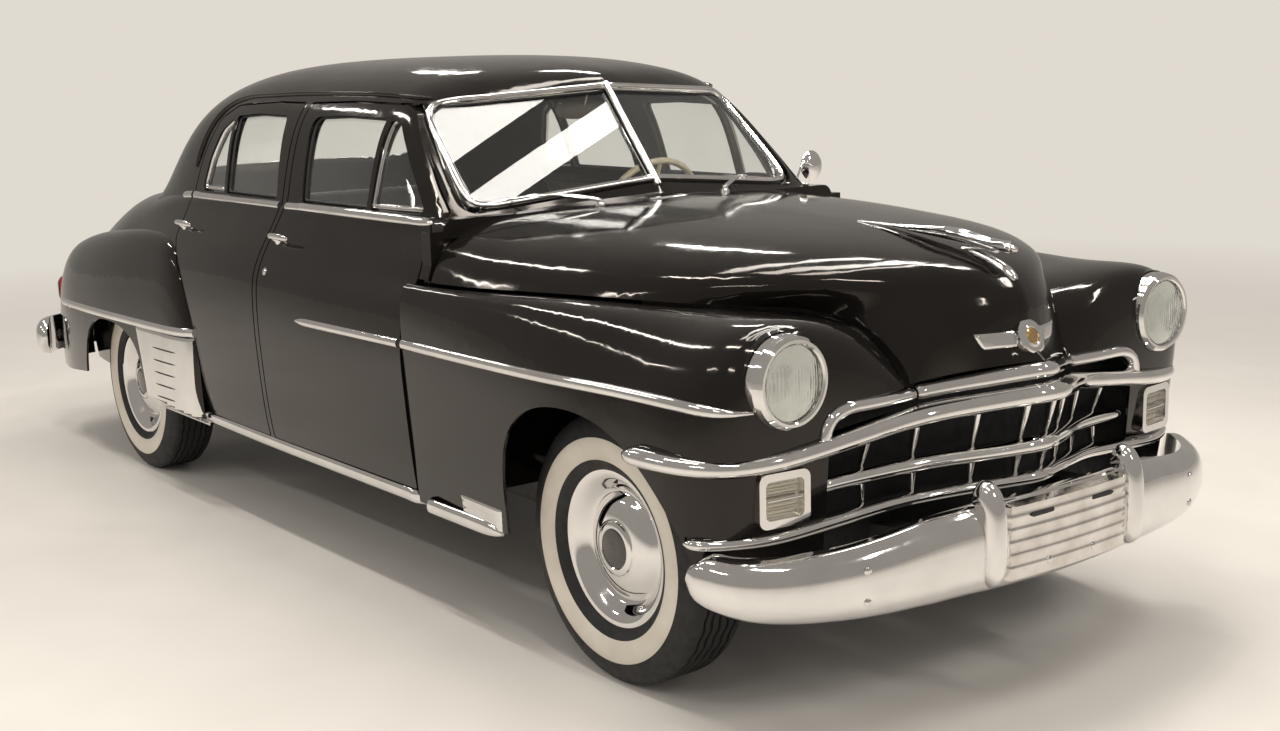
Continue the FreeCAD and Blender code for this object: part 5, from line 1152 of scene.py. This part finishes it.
def lining(name, rows, cols, foot, thick, body, mat, bump=lambda u, v: 0, make=piece):
    """A padded sheet laid on an inner face: foot(u, v) gives its (point, normal) for u, v 0..1."""
    verts, faces = sheet(rows, cols, foot, lambda u, v: thick + bump(u, v), 0.0005)
    make(name, verts, faces, body, mat, sharp=60)


def card_relief(u, v):
    """Two pressed seams along a door card, and ribs above the upper one."""
    seams = -0.003 * math.exp(-((u - 0.7) / 0.012) ** 2) - 0.003 * math.exp(-((u - 0.16) / 0.012) ** 2)
    return seams + 0.0012 * math.cos(2 * math.pi * 14 * v) * (1 if u > 0.71 else 0)


inside_door = 0.25
for key, node, s_a, s_b, s_low in (("front", "door_front_left", -0.935, -1.745, -1.745),
        ("rear", "door_rear_left", -1.905, -2.5, -2.345)):
    inner = tree_of(node)

    def card(u, v, inner=inner, s_a=s_a, s_b=s_b, s_low=s_low):
        z = 0.47 + 0.645 * u
        back_s = s_low + (s_b - s_low) * min(1.0, max(0.0, (z - 0.62) / 0.42)) ** 0.8
        return cast(inner, (front_x + s_a + (back_s - s_a) * v, inside_door, z), (0, 1, 0))

    lining("door_card_" + key, 40, 44, card, 0.0045, node, card_cloth, card_relief, both_sides)
    for n_c, (s_c, z_c, reach) in enumerate(((s_a - 0.23, 0.905, 0.085), (s_a - 0.12, 0.985, 0.062))):
        hit = cast(inner, (front_x + s_c, inside_door, z_c), (0, 1, 0))
        if not hit:
            continue
        foot, n = hit
        for side, mirror_it in (("left", False), ("right", True)):
            q, m = mirror_of([foot, n]) if mirror_it else (foot, n)
            body = other(node) if mirror_it else node
            turned("door_%s_knob_%d_%s" % (key, n_c, side), q, m,
                [(0, 0.03), (0.008, 0.029), (0.012, 0.024), (0.011, 0.012), (0.02, 0.006), (0.021, 0.001),
                (0, 0.001)], body, steps=24)
            arm = [q + m * 0.023 + Vector((-f * reach, 0, -0.012 * f)) for f in (0, 0.2, 0.5, 0.8, 1.0)]
            sweep("door_%s_arm_%d_%s" % (key, n_c, side), arm, oval(0.004, 0.0075, 14), body,
                scale=[0.8, 1.1, 1, 1, 0.5])


def roof_foot(u, v):
    s = -1.235 - 1.6 * u
    half_width = 0.555 - 0.05 * abs(2 * u - 1) ** 3
    return cast(shell, (front_x + s, half_width * (2 * v - 1), 1.15), (0, 0, 1))


lining("headlining", 60, 36, roof_foot, 0.006, "car_body", headlining,
    lambda u, v: 0.004 * math.exp(-((u * 5.999 % 1 - 0.5) / 0.035) ** 2))
for key, s_a, s_b in (("front", -0.9, -1.99), ("rear", -2.13, -2.46)):
    lining("carpet_" + key, 30, 50, lambda u, v, s_a=s_a, s_b=s_b: cast(shell,
        (front_x + s_a + (s_b - s_a) * u, 0.72 * (2 * v - 1), 0.78), (0, 0, -1)), 0.006, "car_body", carpet)

dash_tree = tree_of("dashboard")


def on_dash(y, z):
    return cast(dash_tree, (front_x - 2.0, y, z), (1, 0, 0))


for n_d, (y, z, r) in enumerate(((0.385, 1.005, 0.078), (0.215, 0.985, 0.042), (0.555, 0.985, 0.042),
        (0.0, 0.995, 0.05), (-0.385, 1.03, 0.03))):
    hit = on_dash(y, z)
    if not hit:
        continue
    foot, n = hit
    turned("dial_ring_%d" % n_d, foot, n, [(r, -0.002), (r, 0.004), (r * 0.97, 0.0085), (r * 0.9, 0.0095),
        (r * 0.84, 0.006), (r * 0.83, 0.0025), (r * 0.83, -0.002)], steps=64)
    turned("dial_face_%d" % n_d, foot, n, [(0, 0.0032), (r * 0.5, 0.003), (r * 0.84, 0.003),
        (r * 0.84, -0.001), (0, -0.001)], "car_body", ivory if n_d else headlining, 48)
    hand = [foot + n * 0.0048 + Vector((0, dy, dz)) for dy, dz in ((0, -0.1 * r), (0.1 * r, 0.25 * r),
        (0.26 * r, 0.66 * r))]
    sweep("dial_hand_%d" % n_d, hand, oval(0.0008, 0.0014, 8, 2), mat=seal, up=(1, 0, 0),
        scale=[1.4, 1, 0.4])
for n_k, y in enumerate((-0.12, -0.06, 0.06, 0.12)):
    hit = on_dash(y, 0.925)
    if hit:
        turned("dash_knob_%d" % n_k, hit[0], hit[1], [(0, 0.026), (0.009, 0.025), (0.012, 0.02),
            (0.012, 0.012), (0.005, 0.008), (0.005, -0.002), (0, -0.002)], "car_body", ivory, 24)
glove_corners = [(-0.56, 0.925), (-0.56, 1.055), (-0.24, 1.055), (-0.24, 0.925)]
glove = [on_dash(*p) for p in even_ring(rounded(glove_corners, (0.015,) * 4))]
if all(glove):
    verts, faces = ring_shape(glove, crown(0.0022, 0.0014, 0.0008, 5))
    piece("glove_door_bead", verts, faces)

# Steering wheel, smooth over its plain hoops
column_low, wheel_mid = at(-0.56, 0.385, 0.76), at(-1.33, 0.385, 1.062)
column_way = (wheel_mid - column_low).normalized()


def circle(radius, r, count=16, flat=1.0, along=0.0):
    return [(radius + r * math.cos(2 * math.pi * k / count),
        along + flat * r * math.sin(2 * math.pi * k / count)) for k in range(count)]


turning = body_of["steering_wheel"]
steering_r, horn_r = 0.212, 0.12
rim_piece = turned("steering_rim", wheel_mid, column_way, circle(steering_r, 0.0118, 18), turning, ivory, 120,
    "wheel_rim_resin", sharp=60)
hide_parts("steering_wheel")
turned("horn_ring", wheel_mid, column_way, circle(horn_r, 0.0048, 12, 0.8, 0.004), turning, steps=96,
    sharp=60)
turned("steering_hub", wheel_mid, column_way, [(0, 0.0135), (0.016, 0.0125), (0.026, 0.009),
    (0.0335, 0.002), (0.0338, -0.02), (0.03, -0.0475), (0, -0.0475)], turning, ivory, 48,
    "wheel_rim_resin")
turned("horn_button", wheel_mid, column_way, [(0, 0.0185), (0.01, 0.0178), (0.018, 0.015),
    (0.0215, 0.0105), (0.0215, 0.006), (0, 0.006)], turning, steps=40)
side_way = column_way.cross(Vector((0, 0, 1))).normalized()
rise_way = side_way.cross(column_way).normalized()
for n_s, q in enumerate((90, 210, 330)):
    d = side_way * math.cos(math.radians(q)) + rise_way * math.sin(math.radians(q))
    line = [wheel_mid + d * r - column_way * 0.01 * (1 - r / 0.208)
        for r in (0.02, 0.06, 0.11, 0.16, 0.208)]
    sweep("steering_spoke_%d" % n_s, line, oval(0.0085, 0.0055, 14), turning, ivory, up=tuple(column_way),
        scale=[1.25, 1.05, 0.95, 0.95, 1.1], slot_name="wheel_rim_resin")

mirror_plate = [Vector((0, a, b)) for a, b in oval(0.112, 0.03, 40, 2.8)]
verts = []
for x, f in ((0.006, 0.9), (0.004, 1.0), (-0.005, 1.0), (-0.007, 0.93)):
    verts += [at(-1.175 + x, q.y * f, 1.455 + q.z * f) for q in mirror_plate]
piece("inner_mirror", verts, tube_faces(4, len(mirror_plate)), mats=dash_paint, sharp=40)
stalk = smooth_line([at(-1.168, 0, 1.47), at(-1.15, 0, 1.5), at(-1.12, 0, 1.528)], 12)
sweep("inner_mirror_stalk", stalk, oval(0.0045, 0.0045, 12, 2), up=(0, 1, 0))

# Stage
backdrop = (0.745, 0.7, 0.635)
seen_rays = ("Is Camera Ray", "Is Transmission Ray")
fade_near, fade_far = 3.2, 9.0
floor_mat, nt, bsdf = tree("floor")
nt.links.new(mixed(nt, ramp(nt, noise(nt, 0.7), 0, 1), (0.7, 0.665, 0.62), (0.75, 0.715, 0.67)),
    bsdf.inputs["Base Color"])
nt.links.new(ramp(nt, noise(nt, 5.0), 0.35, 0.5), bsdf.inputs["Roughness"])
bsdf.inputs["Specular IOR Level"].default_value = 0.3
away = nt.nodes.new("ShaderNodeVectorMath")
away.operation = "LENGTH"
nt.links.new(nt.nodes.new("ShaderNodeTexCoord").outputs["Object"], away.inputs[0])
fade = nt.nodes.new("ShaderNodeMath")
fade.operation = "MULTIPLY"
nt.links.new(ramp(nt, away.outputs["Value"], 0.0, 1.0, fade_near, fade_far), fade.inputs[0])
nt.links.new(of_rays(nt, *seen_rays), fade.inputs[1])
glow = nt.nodes.new("ShaderNodeEmission")
glow.inputs["Color"].default_value = (*backdrop, 1)
nt.links.new(blended(nt, fade.outputs[0], bsdf.outputs[0], glow.outputs[0]),
    nt.nodes["Material Output"].inputs["Surface"])
mesh = bpy.data.meshes.new("floor")
size = 40.0
mesh.from_pydata([(-size, -size, 0), (size, -size, 0), (size, size, 0), (-size, size, 0)], [],
    [(0, 1, 2, 3)])
mesh.materials.append(floor_mat)
floor = bpy.data.objects.new("floor", mesh)
bpy.context.scene.collection.objects.link(floor)

world = bpy.data.worlds.new("room")
bpy.context.scene.world = world
world.use_nodes = True
wt = world.node_tree


def sky(colour, strength):
    back = wt.nodes.new("ShaderNodeBackground")
    back.inputs["Color"].default_value = (*colour, 1)
    back.inputs["Strength"].default_value = strength
    return back.outputs[0]


room = blended(wt, of_rays(wt, "Is Glossy Ray"), sky((0.8, 0.765, 0.715), 0.82),
    sky((0.8, 0.74, 0.67), 0.42))
wt.links.new(blended(wt, of_rays(wt, *seen_rays), room, sky(backdrop, 1.0)),
    wt.nodes["World Output"].inputs["Surface"])
ceiling = 3.7
strip_length, strip_width, strip_power = 1.3, 0.16, 24


def lamp(name, x, y, width, depth, power, spin=0.0):
    """A strip light on the ceiling that shines straight down."""
    data = bpy.data.lights.new(name, "AREA")
    data.shape = "RECTANGLE"
    data.size, data.size_y = width, depth
    data.energy = power
    data.color = (1, 0.96, 0.9)
    obj = bpy.data.objects.new(name, data)
    obj.location = (x, y, ceiling)
    obj.rotation_euler = Vector((0, 0, -ceiling)).to_track_quat("-Z", "Y").to_euler()
    obj.rotation_euler.rotate_axis("Z", spin)
    bpy.context.scene.collection.objects.link(obj)


for i, (x, y) in enumerate(((-3.6, -1.6), (-1.2, -1.6), (1.2, -1.6), (3.6, -1.6), (-3.6, 1.8), (-1.2, 1.8),
        (1.2, 1.8), (3.6, 1.8), (0.0, -4.6), (3.4, -4.6), (-3.2, -4.6), (6.4, 0.2))):
    lamp("strip_%d" % i, x, y, strip_length, strip_width, strip_power)
for i, (x, wide) in enumerate(((1.55, 0.14), (1.15, 0.26), (0.62, 0.18))):
    lamp("cross_strip_%d" % i, x, 0.62, 3.0, wide, 26 * wide / 0.2, math.radians(108))

camera_data = bpy.data.cameras.new("camera")
camera_data.sensor_width = 36
camera_data.lens = 45.72
camera = bpy.data.objects.new("camera", camera_data)
bpy.context.scene.collection.objects.link(camera)
bpy.context.scene.camera = camera
yaw, pitch, roll = (math.radians(v) for v in (142.603343, -10.773186, -1.519229))
ahead = Vector((math.cos(pitch) * math.cos(yaw), math.cos(pitch) * math.sin(yaw), math.sin(pitch)))
right = ahead.cross(Vector((0, 0, 1))).normalized()
up = right.cross(ahead)
camera_right = right * math.cos(roll) + up * math.sin(roll)
camera_up = up * math.cos(roll) - right * math.sin(roll)
camera.matrix_world = Matrix((camera_right, camera_up, -ahead)).transposed().to_4x4()
camera.location = at(3.296, -3.206, 1.627)

bpy.context.scene.view_settings.view_transform = "Standard"
